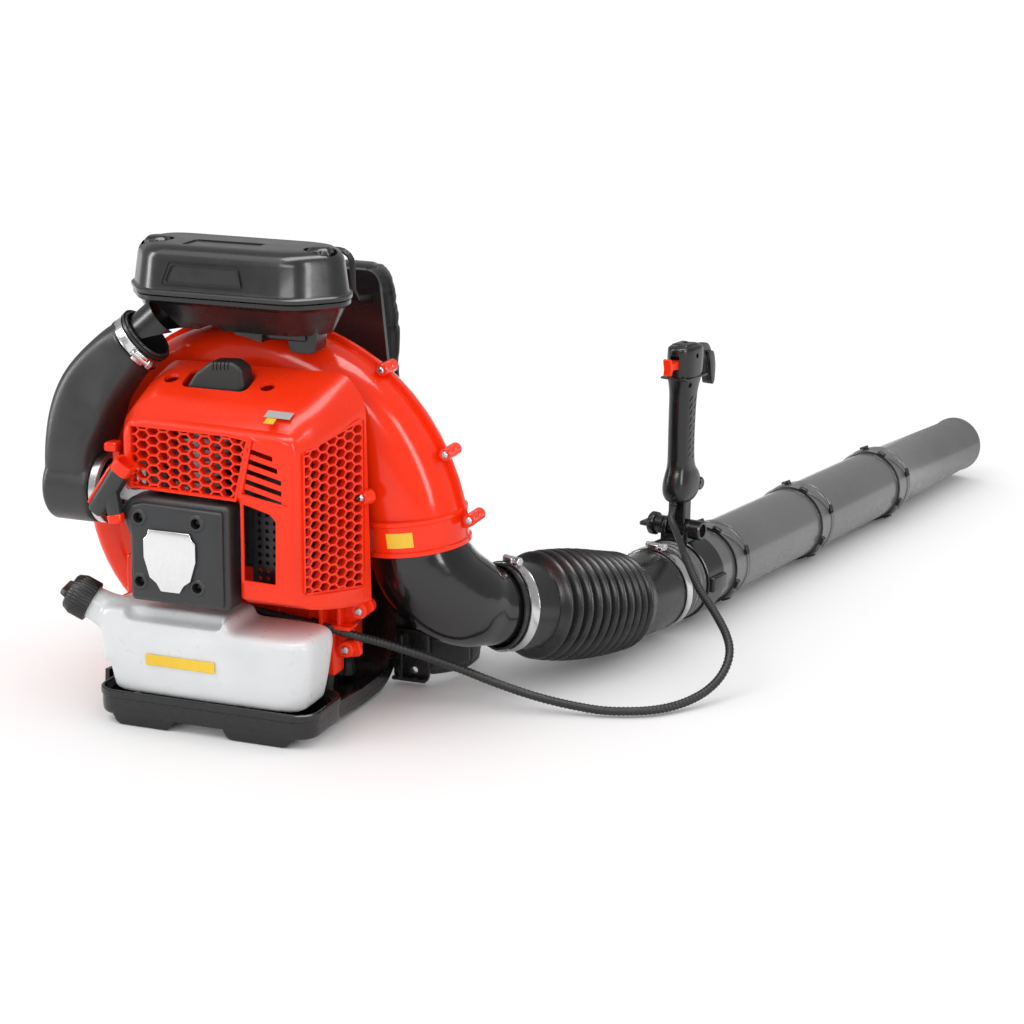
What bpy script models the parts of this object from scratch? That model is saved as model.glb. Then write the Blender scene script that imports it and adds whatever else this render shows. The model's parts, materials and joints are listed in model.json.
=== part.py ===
"""Backpack leaf blower, modelled as an assembly of separate pieces.

Frame: +Z up, +Y away from the operator's front panel towards the harness, +X to the tube side.
The origin is on the floor under the crank axis, at the middle of the fan's depth.
Driving dimensions are in millimetres. mm() turns them into Blender's metres.
"""
import math

import bmesh
import bpy
from mathutils import Matrix, Vector

# ---- driving dimensions, millimetres ----
CRANK_Z = 184.0            # height of the crank axis, which runs along Y
GAP = 0.4                  # clearance between pieces that rest on each other

FAN_R = 110.0              # impeller radius
DRUM_R = 125.0             # outside radius of the fan housing's round part
DRUM_HALF = 50.0           # half depth of the fan housing
SCROLL_R0 = 168.0          # scroll radius on the left, level with the axis
SCROLL_K = 0.0020          # growth of the scroll's log spiral, per degree
WALL = 3.0                 # moulded wall thickness
OUTLET_R = 54.0            # outside radius of the outlet collar
OUTLET_END = Vector((187.0, 0.0, 170.0))
OUTLET_DIR = Vector((0.12, 0.02, -0.99)).normalized()

TUBE_R = 43.6              # outside radius of the blower tube
BELL_R = 46.0              # outside radius of a tube joint
TUBE_WALL = 2.0
TUBE_START = Vector((342.0, 320.0, 51.0))       # centre of the hose's far clamp
TUBE_DIR = Vector((0.2113, 0.9774, -0.0073)).normalized()
JOINT_S = (147.0, 377.0, 613.0)                 # ends of the three tube joints, along the tube
NOZZLE_END = 886.0
INSERT = 32.0              # how far a tube goes into the next joint

ELBOW_START = Vector((184.5, 0.0, 186.0))
ELBOW_END = Vector((258.0, 82.0, 89.0))
HOSE_DIR = Vector((0.495, 0.858, -0.139)).normalized()
HOSE_START = Vector((248.0, 64.0, 92.0))
RIDGES = 9
RIDGE_PITCH = 16.5
FIRST_RIDGE = 60.0         # distance of the first ridge along the hose

PIVOT_S = 56.0             # the handle's place along the tube
PIVOT_UP = 58.5            # height of the handle's pivot over the tube's axis

FRAME_X = (-122.0, 142.0)  # sides of the carrying frame
BASE_X = (-88.0, 148.0)    # sides of the base tray
BASE_Y = (-168.0, -84.0)
BASE_TOP = 31.0
CYL_Y = -92.0              # cylinder axis, in front of the fan

# ---- materials: colour, roughness, metallic ----
FINISHES = {
    "red_plastic": ((0.80, 0.035, 0.012), 0.28, 0.0),
    "black_plastic": ((0.022, 0.022, 0.024), 0.38, 0.0),
    "tube_plastic": ((0.040, 0.040, 0.043), 0.33, 0.0),
    "grey_plastic": ((0.075, 0.077, 0.082), 0.50, 0.0),
    "tank_plastic": ((0.80, 0.82, 0.83), 0.35, 0.0),
    "rubber": ((0.028, 0.028, 0.028), 0.60, 0.0),
    "aluminium": ((0.60, 0.60, 0.62), 0.35, 1.0),
    "steel": ((0.55, 0.55, 0.57), 0.28, 1.0),
    "dark_steel": ((0.08, 0.08, 0.085), 0.45, 0.9),
    "fabric": ((0.030, 0.030, 0.033), 0.90, 0.0),
    "white_plate": ((0.82, 0.82, 0.83), 0.30, 0.2),
    "paper": ((0.72, 0.66, 0.48), 0.90, 0.0),
    "ceramic": ((0.85, 0.85, 0.82), 0.25, 0.0),
}

for old in list(bpy.data.objects):
    bpy.data.objects.remove(old, do_unlink=True)


def new_collection(name):
    collection = bpy.data.collections.new(name)
    bpy.context.scene.collection.children.link(collection)
    return collection


PARTS = new_collection("backpack_blower")
CUTTERS = new_collection("cutters")


def make_material(name):
    colour, roughness, metallic = FINISHES[name]
    material = bpy.data.materials.new(name)
    material.use_nodes = True
    shader = material.node_tree.nodes["Principled BSDF"]
    shader.inputs["Base Color"].default_value = (*colour, 1.0)
    shader.inputs["Roughness"].default_value = roughness
    shader.inputs["Metallic"].default_value = metallic
    return material


MATERIALS = {name: make_material(name) for name in FINISHES}


def mm(*values):
    """A point given in millimetres, as a Vector in metres."""
    point = values[0] if len(values) == 1 else values
    return Vector(point) * 0.001


# ---------------------------------------------------------------- helpers


def link(name, data, finish, origin=(0, 0, 0), parent=None):
    obj = bpy.data.objects.new(name, data)
    PARTS.objects.link(obj)
    obj.location = mm(origin)
    if finish:
        data.materials.append(MATERIALS[finish])
    if parent:
        obj.parent = parent
    return obj


def from_bmesh(name, bm, finish, origin=(0, 0, 0), parent=None):
    """Turns a closed bmesh into an object with its faces pointing out."""
    bmesh.ops.recalc_face_normals(bm, faces=bm.faces)
    if bm.calc_volume(signed=True) < 0:
        bmesh.ops.reverse_faces(bm, faces=bm.faces)
    mesh = bpy.data.meshes.new(name)
    bm.to_mesh(mesh)
    bm.free()
    mesh.shade_smooth()
    mesh.set_sharp_from_angle(angle=math.radians(35))
    return link(name, mesh, finish, origin, parent)


def bevel(obj, width, segments=1, angle=35):
    mod = obj.modifiers.new("bevel", "BEVEL")
    mod.width = width * 0.001
    mod.segments = segments
    mod.limit_method = "ANGLE"
    mod.angle_limit = math.radians(angle)
    return obj


def box(name, low, high, finish=None, round_by=0, origin=(0, 0, 0), parent=None):
    """A box between two corners, given from the object's origin."""
    low, high = Vector(low), Vector(high)
    bm = bmesh.new()
    bmesh.ops.create_cube(bm, size=1.0)
    bmesh.ops.scale(bm, vec=mm(high - low), verts=bm.verts)
    bmesh.ops.translate(bm, vec=mm((low + high) / 2), verts=bm.verts)
    obj = from_bmesh(name, bm, finish, origin, parent)
    return bevel(obj, round_by) if round_by else obj


def aim(obj, direction):
    obj.rotation_mode = "QUATERNION"
    obj.rotation_quaternion = Vector(direction).to_track_quat("Z", "Y")
    return obj


def cylinder(name, radius, start, end, finish=None, sides=24, parent=None):
    """A cylinder between two points; its origin is its start, on its axis."""
    start, end = Vector(start), Vector(end)
    length = (end - start).length
    bm = bmesh.new()
    lift = Matrix.Translation((0, 0, length * 0.0005))
    bmesh.ops.create_cone(bm, cap_ends=True, segments=sides, radius1=radius * 0.001,
                          radius2=radius * 0.001, depth=length * 0.001, matrix=lift)
    return aim(from_bmesh(name, bm, finish, start, parent), end - start)


def turned(name, profile, origin, axis, finish=None, sides=24, loop=False, parent=None):
    """A turned piece: (radius, height) points, down the outside, spun about the axis."""
    mesh = bpy.data.meshes.new(name)
    points = [mm(radius, 0, height) for radius, height in profile]
    count = len(points)
    edges = [(i, (i + 1) % count) for i in range(count if loop else count - 1)]
    mesh.from_pydata(points, edges, [])
    obj = aim(link(name, mesh, finish, origin, parent), axis)
    spin = obj.modifiers.new("turn", "SCREW")
    spin.axis = "Z"
    spin.steps = sides
    spin.render_steps = sides
    spin.use_merge_vertices = True
    spin.merge_threshold = 0.00001
    spin.use_smooth_shade = True
    return obj


def tube(name, outer, inner, low, high, origin, axis, finish=None, sides=24, parent=None):
    """A straight tube with square ends, from low to high along its axis."""
    profile = [(outer, high), (outer, low), (inner, low), (inner, high)]
    return turned(name, profile, origin, axis, finish, sides, loop=True, parent=parent)


def prism(name, outline, axis, low, high, finish=None, round_by=0, origin=(0, 0, 0), parent=None):
    """A flat outline pushed along X, Y or Z. The outline's two numbers are the other two axes."""
    order = {"X": lambda u, v: (low, u, v), "Y": lambda u, v: (u, low, v), "Z": lambda u, v: (u, v, low)}
    push = {"X": (high - low, 0, 0), "Y": (0, high - low, 0), "Z": (0, 0, high - low)}
    bm = bmesh.new()
    face = bm.faces.new([bm.verts.new(mm(order[axis](u, v))) for u, v in outline])
    grown = bmesh.ops.extrude_face_region(bm, geom=[face])["geom"]
    moved = [item for item in grown if isinstance(item, bmesh.types.BMVert)]
    bmesh.ops.translate(bm, vec=mm(push[axis]), verts=moved)
    obj = from_bmesh(name, bm, finish, origin, parent)
    return bevel(obj, round_by) if round_by else obj


def skin(bm, rings):
    """Joins a row of equal rings with quads and returns their vertices."""
    rows = [[bm.verts.new(mm(point)) for point in ring] for ring in rings]
    for near, far in zip(rows, rows[1:]):
        for i in range(len(near)):
            j = (i + 1) % len(near)
            bm.faces.new((near[i], near[j], far[j], far[i]))
    return rows


def rim(bm, outside, inside):
    for i in range(len(outside)):
        j = (i + 1) % len(outside)
        bm.faces.new((outside[i], outside[j], inside[j], inside[i]))


def loft(name, rings, finish=None, origin=(0, 0, 0), parent=None):
    """A solid through a row of rings."""
    bm = bmesh.new()
    rows = skin(bm, rings)
    bm.faces.new(rows[0])
    bm.faces.new(rows[-1])
    return from_bmesh(name, bm, finish, origin, parent)


def hollow_loft(name, outer, inner, finish=None, closed_start=False, origin=(0, 0, 0), parent=None):
    """A shell between outer and inner rings, open at the end, and at the start unless closed."""
    bm = bmesh.new()
    outside = skin(bm, outer)
    inside = skin(bm, inner)
    rim(bm, outside[-1], inside[-1])
    if closed_start:
        bm.faces.new(outside[0])
        bm.faces.new(inside[0])
    else:
        rim(bm, outside[0], inside[0])
    return from_bmesh(name, bm, finish, origin, parent)


def wire(name, points, radius, finish, resolution=2):
    """A round wire, cable or rail through the points."""
    curve = bpy.data.curves.new(name, "CURVE")
    curve.dimensions = "3D"
    curve.bevel_depth = radius * 0.001
    curve.bevel_resolution = resolution
    curve.use_fill_caps = True
    spline = curve.splines.new("POLY")
    spline.points.add(len(points) - 1)
    for knot, point in zip(spline.points, points):
        knot.co = (*mm(point), 1.0)
    return link(name, curve, finish)


def combine(target, other, operation):
    """Joins or cuts with another object, which then counts as a cutter."""
    PARTS.objects.unlink(other)
    CUTTERS.objects.link(other)
    other.hide_render = True
    other.display_type = "WIRE"
    mod = target.modifiers.new(operation.lower(), "BOOLEAN")
    mod.operation = operation
    mod.object = other
    return target


def add(target, other):
    return combine(target, other, "UNION")


def cut(target, other):
    return combine(target, other, "DIFFERENCE")


def empty(name, location, matrix=None):
    obj = bpy.data.objects.new(name, None)
    PARTS.objects.link(obj)
    obj.empty_display_size = 0.03
    obj.matrix_world = Matrix.Translation(mm(location)) @ (matrix or Matrix.Identity(4))
    return obj


def bezier(p0, p1, p2, p3, count):
    """Points and tangents along a cubic curve, ends included."""
    points = []
    for i in range(count):
        t = i / (count - 1)
        u = 1 - t
        point = u ** 3 * p0 + 3 * u * u * t * p1 + 3 * u * t * t * p2 + t ** 3 * p3
        tangent = u * u * (p1 - p0) + 2 * u * t * (p2 - p1) + t * t * (p3 - p2)
        points.append((point, tangent.normalized()))
    return points


def resample(points, distances):
    """Points and tangents at given distances along a dense row of points."""
    found = []
    walked = 0.0
    index = 0
    for distance in distances:
        while index < len(points) - 2:
            step = (points[index + 1][0] - points[index][0]).length
            if walked + step >= distance:
                break
            walked += step
            index += 1
        here, ahead = points[index], points[index + 1]
        share = (distance - walked) / (ahead[0] - here[0]).length
        tangent = here[1].lerp(ahead[1], min(max(share, 0), 1)).normalized()
        found.append((here[0].lerp(ahead[0], share), tangent))
    return found


def ring(centre, direction, half_a, half_b, sides, power=2.0, side=None):
    """A rounded ring across a direction: a circle at power 2, squarer above it."""
    side = Vector(side or (0, 1, 0))
    across = (side - direction * side.dot(direction)).normalized()
    upward = direction.cross(across)
    points = []
    for i in range(sides):
        angle = 2 * math.pi * i / sides
        c, s = math.cos(angle), math.sin(angle)
        a = math.copysign(abs(c) ** (2 / power), c) * half_a
        b = math.copysign(abs(s) ** (2 / power), s) * half_b
        points.append(Vector(centre) + across * a + upward * b)
    return points


def ribbon(points, thickness):
    """The outline of a strip of even thickness along a flat row of points."""
    left, right = [], []
    for i, point in enumerate(points):
        before = Vector(points[max(i - 1, 0)])
        after = Vector(points[min(i + 1, len(points) - 1)])
        run = (after - before).normalized()
        normal = Vector((-run.y, run.x)) * thickness / 2
        left.append(tuple(Vector(point) + normal))
        right.append(tuple(Vector(point) - normal))
    return left + right[::-1]


def arc(centre, radius, start, end, count):
    """Points of an arc in a plane; angles in degrees."""
    angles = [math.radians(start + (end - start) * i / (count - 1)) for i in range(count)]
    return [(centre[0] + radius * math.cos(a), centre[1] + radius * math.sin(a)) for a in angles]


def rounded_rectangle(low, high, radius, count=4):
    (x0, y0), (x1, y1) = low, high
    corners = [((x1 - radius, y1 - radius), 0), ((x0 + radius, y1 - radius), 90),
               ((x0 + radius, y0 + radius), 180), ((x1 - radius, y0 + radius), 270)]
    return [point for centre, start in corners for point in arc(centre, radius, start, start + 90, count)]


# ---------------------------------------------------------------- carrying frame


def side_profile():
    """Side view (y, z) of the frame: deck, curved heel, back."""
    heel = arc((10.0, 66.0), 60.0, -90.0, 0.0, 7)
    return [(-88.0, 11.0), (-30.0, 6.0)] + heel + [(76.0, 150.0), (99.0, 425.0)]


def back_y(z):
    """Front face of the leaning back, at a height."""
    return 76.0 + (z - 150.0) * (99.0 - 76.0) / 275.0


def build_frame():
    x0, x1 = FRAME_X
    frame = prism("frame", ribbon(side_profile(), 6.0), "X", x0, x1, "black_plastic")
    shape = [(x0 - 1, -1), (x1 + 1, -1), (x1 + 1, 120), (x1 - 8, 230), (105, 426), (-85, 426),
             (x0 + 8, 230), (x0 - 1, 120)]
    combine(frame, prism("frame_outline", shape, "Y", -100, 130), "INTERSECT")
    for side, edge in (("left", x0), ("right", x1 - 5.0)):
        flange = ribbon([(y, z + 6.0) if y < 40 else (y - 6.0, z) for y, z in side_profile()[:-1]], 16.0)
        add(frame, prism(f"flange_{side}", flange, "X", edge + 0.2, edge + 4.8))
    tray = rounded_rectangle((BASE_X[0], BASE_Y[0]), (BASE_X[1], BASE_Y[1]), 22.0)
    add(frame, prism("tray", tray, "Z", 8.0, BASE_TOP, round_by=3))
    tray_room = rounded_rectangle((BASE_X[0] + 3, BASE_Y[0] + 3), (BASE_X[1] - 3, -92.0), 19.0)
    cut(frame, prism("tray_room", tray_room, "Z", 0.0, BASE_TOP - 3.0))
    for side, low, high in (("left", -70.0, 0.0), ("right", 51.0, 128.0)):
        add(frame, box(f"foot_{side}", (low, -166.5, 0), (high, -89, 12), round_by=3))
    add(frame, box("foot_rear", (-42, -22, 0), (62, 18, 5)))
    for side, low, high in (("left", x0 - 37, x0 + 3), ("right", x1 - 3, x1 + 37)):
        add(frame, box(f"tab_{side}", (low, 56, 3), (high, 61, 58), round_by=2))
        hole_x = low + 16 if side == "left" else high - 16
        cut(frame, cylinder(f"tab_hole_{side}", 3.5, (hole_x, 50, 15), (hole_x, 70, 15), sides=12))
    cut(frame, cylinder("air_intake", 78, (0, 40, CRANK_Z), (0, 120, CRANK_Z), sides=32))
    return frame


def build_carry_handle():
    left, right, high = -77.0, 97.0, 452.0
    foot_y = back_y(398) - 4.0
    corner = 14.0
    points = [(left, foot_y, 398), (left, 62, 402), (left, 52, 412), (left, 50, high - corner)]
    points += [(left + corner - x, 50, high - corner + z) for x, z in arc((0, 0), corner, 22.5, 90, 4)]
    points += [(right - corner + x, 50, high - corner + z) for x, z in reversed(arc((0, 0), corner, 22.5, 90, 4))]
    points += [(right, 50, high - corner), (right, 52, 412), (right, 62, 402), (right, foot_y, 398)]
    wire("carry_handle", points, 3.2, "dark_steel")


def build_mounts():
    """Rubber vibration mounts between the frame's deck and the fan housing's legs."""
    for name, x, y, low in (("front_left", -95, -60, 13.0), ("front_right", 114, -60, 13.0),
                            ("rear_left", -95, 22, 14.5), ("rear_right", 100, 22, 14.5)):
        profile = [(0, 43.6), (10, 43.6), (8, 28), (10, low), (0, low)]
        turned(f"av_mount_{name}", profile, (x, y, 0), (0, 0, 1), "rubber", 16)


# ---------------------------------------------------------------- fan housing


def scroll_radius(angle):
    return SCROLL_R0 * math.exp(SCROLL_K * angle)


def scroll_rings(inset):
    """Rings of the air passage round the fan, from the tongue to the outlet collar."""
    rings = []
    for i in range(20):
        angle = -150.0 + i * 17.0
        open_up = max(0.0, (angle - 110.0) / 70.0)
        inner = 112.0 + 16.0 * open_up ** 2
        outer = scroll_radius(angle)
        middle, half = (inner + outer) / 2, (outer - inner) / 2 - inset
        turn = math.radians(180.0 - angle)
        radial = Vector((math.cos(turn), 0, math.sin(turn)))
        along = Vector((math.sin(turn), 0, -math.cos(turn)))
        centre = Vector((0, 0, CRANK_Z)) + radial * middle
        depth = DRUM_HALF - 1.5 + 3.0 * min(open_up, 1.0) - inset
        rings.append(ring(centre, along, depth, half, 20, 2.9 - 0.7 * min(open_up, 1.0)))
    for share in (0.5, 1.0):
        centre = Vector((186.0, 0.0, 186.0)).lerp(OUTLET_END, share)
        rings.append(ring(centre, OUTLET_DIR, OUTLET_R - inset, OUTLET_R - inset, 20))
    return rings


def housing_solid(name, inset, finish=None):
    """Passage and drum as one solid; the inset one is the hollow."""
    rings = scroll_rings(inset)
    if inset:
        rings.append([point + OUTLET_DIR * 6.0 for point in rings[-1]])
    half = DRUM_HALF - inset
    solid = loft(name, rings, finish)
    start, end = (0, -half, CRANK_Z), (0, half, CRANK_Z)
    return add(solid, cylinder(f"{name}_drum", DRUM_R - inset, start, end, sides=40))


def build_fan_housing():
    keep = {"front": (-200.0, -0.2), "rear": (0.2, 200.0)}
    for side, (low, high) in keep.items():
        half = housing_solid(f"fan_housing_{side}", 0.0, "red_plastic")
        if side == "front":
            legs = [((-112, -72, 44), (-78, -48, 100)), ((98, -72, 44), (130, -48, 100)),
                    ((-112, -56, 62), (-50, -48, 140)), ((60, -56, 62), (130, -48, 130))]
        else:
            legs = [((-110, 10, 44), (-80, 34, 112)), ((86, 10, 44), (114, 34, 112))]
        for i, (near, far) in enumerate(legs):
            add(half, box(f"leg_{side}_{i}", near, far))
        cut(half, housing_solid(f"hollow_{side}", WALL))
        combine(half, box(f"half_{side}", (-400, low, -50), (400, high, 500)), "INTERSECT")
        hole = 14.0 if side == "front" else 84.0
        y = -DRUM_HALF if side == "front" else DRUM_HALF
        cut(half, cylinder(f"hub_hole_{side}", hole, (0, y - 8, CRANK_Z), (0, y + 8, CRANK_Z), sides=32))


def build_impeller():
    blades, blade_half = 10, 1.0
    outline = []
    for i in range(blades):
        angle = 2 * math.pi * i / blades
        out = Vector((math.cos(angle), math.sin(angle)))
        side = Vector((-out.y, out.x)) * blade_half
        root = math.sqrt(20.0 ** 2 - blade_half ** 2)
        outline += [tuple(out * root - side), tuple(out * (FAN_R - 2) - side),
                    tuple(out * (FAN_R - 2) + side), tuple(out * root + side)]
        turn = angle + math.pi / blades
        outline.append((20.0 * math.cos(turn), 20.0 * math.sin(turn)))
    impeller = prism("impeller", outline, "Y", -38.0, 36.0, "black_plastic", origin=(0, 0, CRANK_Z))
    disc = turned("impeller_disc", [(0, -34), (60, -35), (FAN_R, -38), (FAN_R, -40.5), (0, -40.5)],
                  (0, 0, 0), (0, 1, 0), sides=40, parent=impeller)
    add(impeller, disc)
    cut(impeller, cylinder("impeller_bore", 8.4, (0, -60, 0), (0, 20, 0), sides=20, parent=impeller))


# ---------------------------------------------------------------- engine


def build_crank_train():
    axis = (0, 1, 0)
    profile = [(0, -20), (8, -20), (8, -78), (27, -78), (27, -88), (0, -88)]
    crank = turned("crankshaft", profile, (0, 0, CRANK_Z), axis, "steel", 24)
    front = turned("crank_front", [(0, -98), (27, -98), (27, -108), (8, -108), (8, -133), (0, -133)],
                   (0, 0, 0), (0, 0, 1), sides=24, parent=crank)
    add(crank, cylinder("crank_pin", 7.0, (0, -14, -99), (0, -14, -87), sides=16, parent=crank))
    add(crank, front)
    wheel = [(50, -119), (50, -131), (30, -131), (26, -126), (8.4, -126), (8.4, -119)]
    turned("flywheel", wheel, (0, 0, CRANK_Z), axis, "aluminium", 32, loop=True)


def build_crankcase():
    case = cylinder("crankcase", 35.4, (0, -116, CRANK_Z), (0, -70, CRANK_Z), "aluminium", 32)
    add(case, box("case_top", (-26, -116, CRANK_Z + 10), (26, -68, 219.6)))
    add(case, cylinder("case_boss", 30, (0, -72, CRANK_Z), (0, -52, CRANK_Z), sides=24))
    add(case, cylinder("case_flange", 46, (0, -56, CRANK_Z), (0, -DRUM_HALF - GAP, CRANK_Z), sides=24))
    cut(case, cylinder("crank_room", 30.5, (0, -112, CRANK_Z), (0, -74, CRANK_Z), sides=32))
    cut(case, cylinder("shaft_bore", 8.4, (0, -130, CRANK_Z), (0, -40, CRANK_Z), sides=20))
    cut(case, cylinder("cylinder_seat", 20.5, (0, CYL_Y, CRANK_Z), (0, CYL_Y, 230), sides=24))


def build_cylinder():
    fins = []
    for i in range(7):
        top = 310.0 - i * 11.0
        fins += [(36, top), (36, top - 4), (26, top - 4), (26, top - 11)]
    fins = fins[:-1] + [(26, 236)]
    barrel = [(0, 310)] + fins + [(24, 236), (24, 220), (19, 220), (19, 290), (0, 290)]
    cylinder_head = turned("cylinder", barrel, (0, CYL_Y, 0), (0, 0, 1), "aluminium", 28)
    cut(cylinder_head, cylinder("plug_hole", 5.4, (0, CYL_Y, 280), (0, CYL_Y, 320), sides=16))
    cut(cylinder_head, cylinder("ports", 8.5, (-50, CYL_Y, 232), (50, CYL_Y, 232), sides=16))
    crown = [(0, 262), (18.6, 262), (18.6, 238), (15.5, 238), (15.5, 257), (0, 257)]
    turned("piston", crown, (0, CYL_Y, 0), (0, 0, 1), "aluminium", 24)
    rod = tube("connecting_rod", 26.5, 22.5, -3, 3, (0, CYL_Y, CRANK_Z), (0, 1, 0), "steel", 24)
    add(rod, cylinder("small_end", 6.5, (0, 66, -3), (0, 66, 3), sides=16, parent=rod))
    add(rod, box("rod_beam", (-4, 24, -2.5), (4, 62, 2.5), parent=rod))
    plug = [(0, 336), (4, 336), (4, 321), (9, 321), (9, 310.4), (5, 310.4), (5, 292), (1, 291), (1, 286), (0, 286)]
    turned("spark_plug", plug, (0, CYL_Y, 0), (0, 0, 1), "ceramic", 16)
    boot = prism("plug_cap", [(-12, 324), (42, 324), (50, 334), (44, 352), (12, 358), (-6, 348), (-14, 334)],
                 "Y", CYL_Y - 13, CYL_Y + 13, "rubber", round_by=3)
    cut(boot, cylinder("plug_socket", 4.5, (0, CYL_Y, 310), (0, CYL_Y, 339), sides=16))
    box("ignition_coil", (-34, -150, 238), (-10, -131, 260), "rubber", 2)


def build_muffler():
    muffler = box("muffler", (50, -130, 166), (122, -70, 262), "dark_steel", 4)
    room = box("muffler_room", (53, -127, 169), (119, -73, 259))
    add(room, cylinder("exhaust_outlet", 8, (92, -140, 190), (92, -120, 190), sides=16))
    add(room, cylinder("exhaust_inlet", 8, (40, CYL_Y, 232), (60, CYL_Y, 232), sides=16))
    cut(muffler, room)


def build_intake():
    carb = box("carburettor", (-92, -110, 214), (-42, -76, 250), "aluminium", 2)
    cut(carb, cylinder("venturi", 8.5, (-100, CYL_Y, 232), (-30, CYL_Y, 232), sides=20))
    path = [((-131, -104, 226), 26.4, 30), ((-131, -103, 263), 26.4, 29), ((-124, -99, 292), 31, 28),
            ((-114, -93, 322), 31, 28), ((-92, -84.5, 354), 28.5, 28.5), ((-73, -82, 371), 28, 28),
            ((-64.5, -81, 378.6), 28, 28)]
    centres = [Vector(point) for point, _, _ in path]
    limbs = []
    for inset in (0.0, 2.4):
        rings = []
        for i, (point, across, deep) in enumerate(path):
            run = (centres[min(i + 1, 6)] - centres[max(i - 1, 0)]).normalized()
            rings.append(ring(point, run, deep - inset, across - inset, 16, max(2.0, 3.2 - 0.3 * i)))
        if inset:
            rings.append([point + run * 4.0 for point in rings[-1]])
        limbs.append(rings)
    duct = cylinder("intake_duct", 37, (-157, -105, 225), (-104, -105, 225), "black_plastic", 28)
    add(duct, loft("duct_limb", limbs[0]))
    room = cylinder("duct_room", 34.6, (-154.6, -105, 225), (-90, -105, 225), sides=28)
    cut(duct, add(room, loft("duct_limb_room", limbs[1])))
    tube("duct_ring", 36.5, 30.0, 0.4, 9.5, (-104, -105, 225), (1, 0, 0), "steel", 28)
    along = Vector((17, 2, 15)).normalized()
    tube("duct_clamp", 30.2, 28.9, -5, 5, (-73, -82, 371), along, "steel", 28)
    lever = box("choke_lever", (-4, -3, -4), (4, 3, 22), "red_plastic", 1, origin=(-84, -114.5, 252))
    add(lever, box("choke_tab", (-9, -12, 14), (6, 3, 24), parent=lever))


def build_starter():
    outline = [(-46, 130), (62, 130), (62, 234), (-30, 236), (-44, 234), (-57, 220), (-46, 196)]
    cover = prism("starter_housing", outline, "Y", -170, -134, "grey_plastic", round_by=4)
    room = [(-42, 134), (58, 134), (58, 230), (-30, 232), (-42, 230)]
    cut(cover, prism("starter_room", room, "Y", -166, -130))
    for i, (x, z) in enumerate(((-32, 216), (30, 216), (-32, 152), (30, 152))):
        cut(cover, cylinder(f"screw_well_{i}", 5.5, (x, -175, z), (x, -160, z), sides=16))
    add(cover, cylinder("pulley_post", 5, (0, -168, CRANK_Z), (0, -140, CRANK_Z), sides=16))
    cut(cover, cylinder("rope_eye", 4, (-70, -146, 224), (-36, -146, 214), sides=12))
    groove = [(30, 4), (30, 2.4), (24, 1), (24, -1), (30, -2.4), (30, -4), (5.4, -4), (5.4, 4)]
    turned("starter_pulley", groove, (0, -150, CRANK_Z), (0, 1, 0), "black_plastic", 28, loop=True)
    plate = [(-22, 178), (-16, 206), (20, 206), (26, 178), (20, 154), (10, 144), (-6, 144), (-16, 154)]
    prism("starter_badge", plate, "Y", -172.4, -170 - GAP, "white_plate")
    wire("starter_rope", [(-40, -146, 215.2), (-58, -146, 220.5), (-62, -151, 224.5), (-62, -158, 230)],
         1.8, "rubber", 1)
    grip = loft("starter_grip", [ring(Vector((-61, -168, 243)) + Vector((0.72, 0, 0.69)) * s,
                                      Vector((0.72, 0, 0.69)), 8, w, 12, 3.0)
                                 for s, w in ((-28, 8), (-22, 11), (0, 9), (22, 11), (28, 8))], "grey_plastic")
    add(grip, cylinder("grip_stem", 6.5, (-62, -168, 242), (-62, -163, 232), sides=12))
    cut(grip, cylinder("grip_rope_hole", 2.6, (-62, -150, 224), (-62, -163, 234.3), sides=10))


def build_engine_cover():
    front = [(-57, 238), (-57, 300), (-45, 312), (120, 308), (131, 298), (131, 139), (67, 139), (67, 238)]
    back = [(-76, 226), (-76, 312), (-50, 350), (140, 352), (160, 326), (166, 122), (67, 122), (67, 226)]

    def level(outline, y, inset):
        cx = sum(x for x, _ in outline) / 8
        cz = sum(z for _, z in outline) / 8
        points = []
        for i, (x, z) in enumerate(outline):
            before = Vector(outline[i - 1])
            after = Vector(outline[(i + 1) % 8])
            here = Vector((x, z))
            e1, e2 = (here - before).normalized(), (after - here).normalized()
            n1, n2 = Vector((e1.y, -e1.x)), Vector((e2.y, -e2.x))
            shift = (n1 + n2) / (1 + n1.dot(n2)) * inset
            points.append(Vector((x + shift.x, y, z + shift.y)))
        return points

    outer = [level(front, -156, 0), level(back, -62, 0)]
    inner = [level(front, -153.4, 2.6), level(back, -62, 2.6)]
    cover = hollow_loft("engine_cover", outer, inner, "red_plastic", closed_start=True)
    cut(cover, box("exhaust_window", (72, -170, 158), (110, -140, 239)))
    cut(cover, box("engine_opening", (-53, -151, 215), (68, -50, 243)))
    cut(cover, box("muffler_opening", (60, -151, 141), (72, -50, 243)))
    cut(cover, box("carburettor_opening", (-100, -122, 200), (-40, -50, 272)))
    cut(cover, box("plug_opening", (-20, CYL_Y - 20, 318), (56, CYL_Y + 20, 380)))
    for i in range(4):
        slot = [(72, 296 - 11 * i), (112, 290 - 11 * i), (112, 285 - 11 * i), (72, 291 - 11 * i)]
        cut(cover, prism(f"louvre_{i}", slot, "Y", -170, -145))
    for i in range(4):
        for j in range(2):
            x, z = -34 + 25 * i, 255 + 23 * j
            cut(cover, cylinder(f"grille_{i}_{j}", 9.5, (x, -170, z), (x, -145, z), sides=6))
            cut(cover, cylinder(f"side_grille_{i}_{j}", 9.5, (120, -120 + 28 * j, 170 + 24 * i),
                                (175, -120 + 28 * j, 170 + 24 * i), sides=6))


# ---------------------------------------------------------------- fuel and air filter


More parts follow.
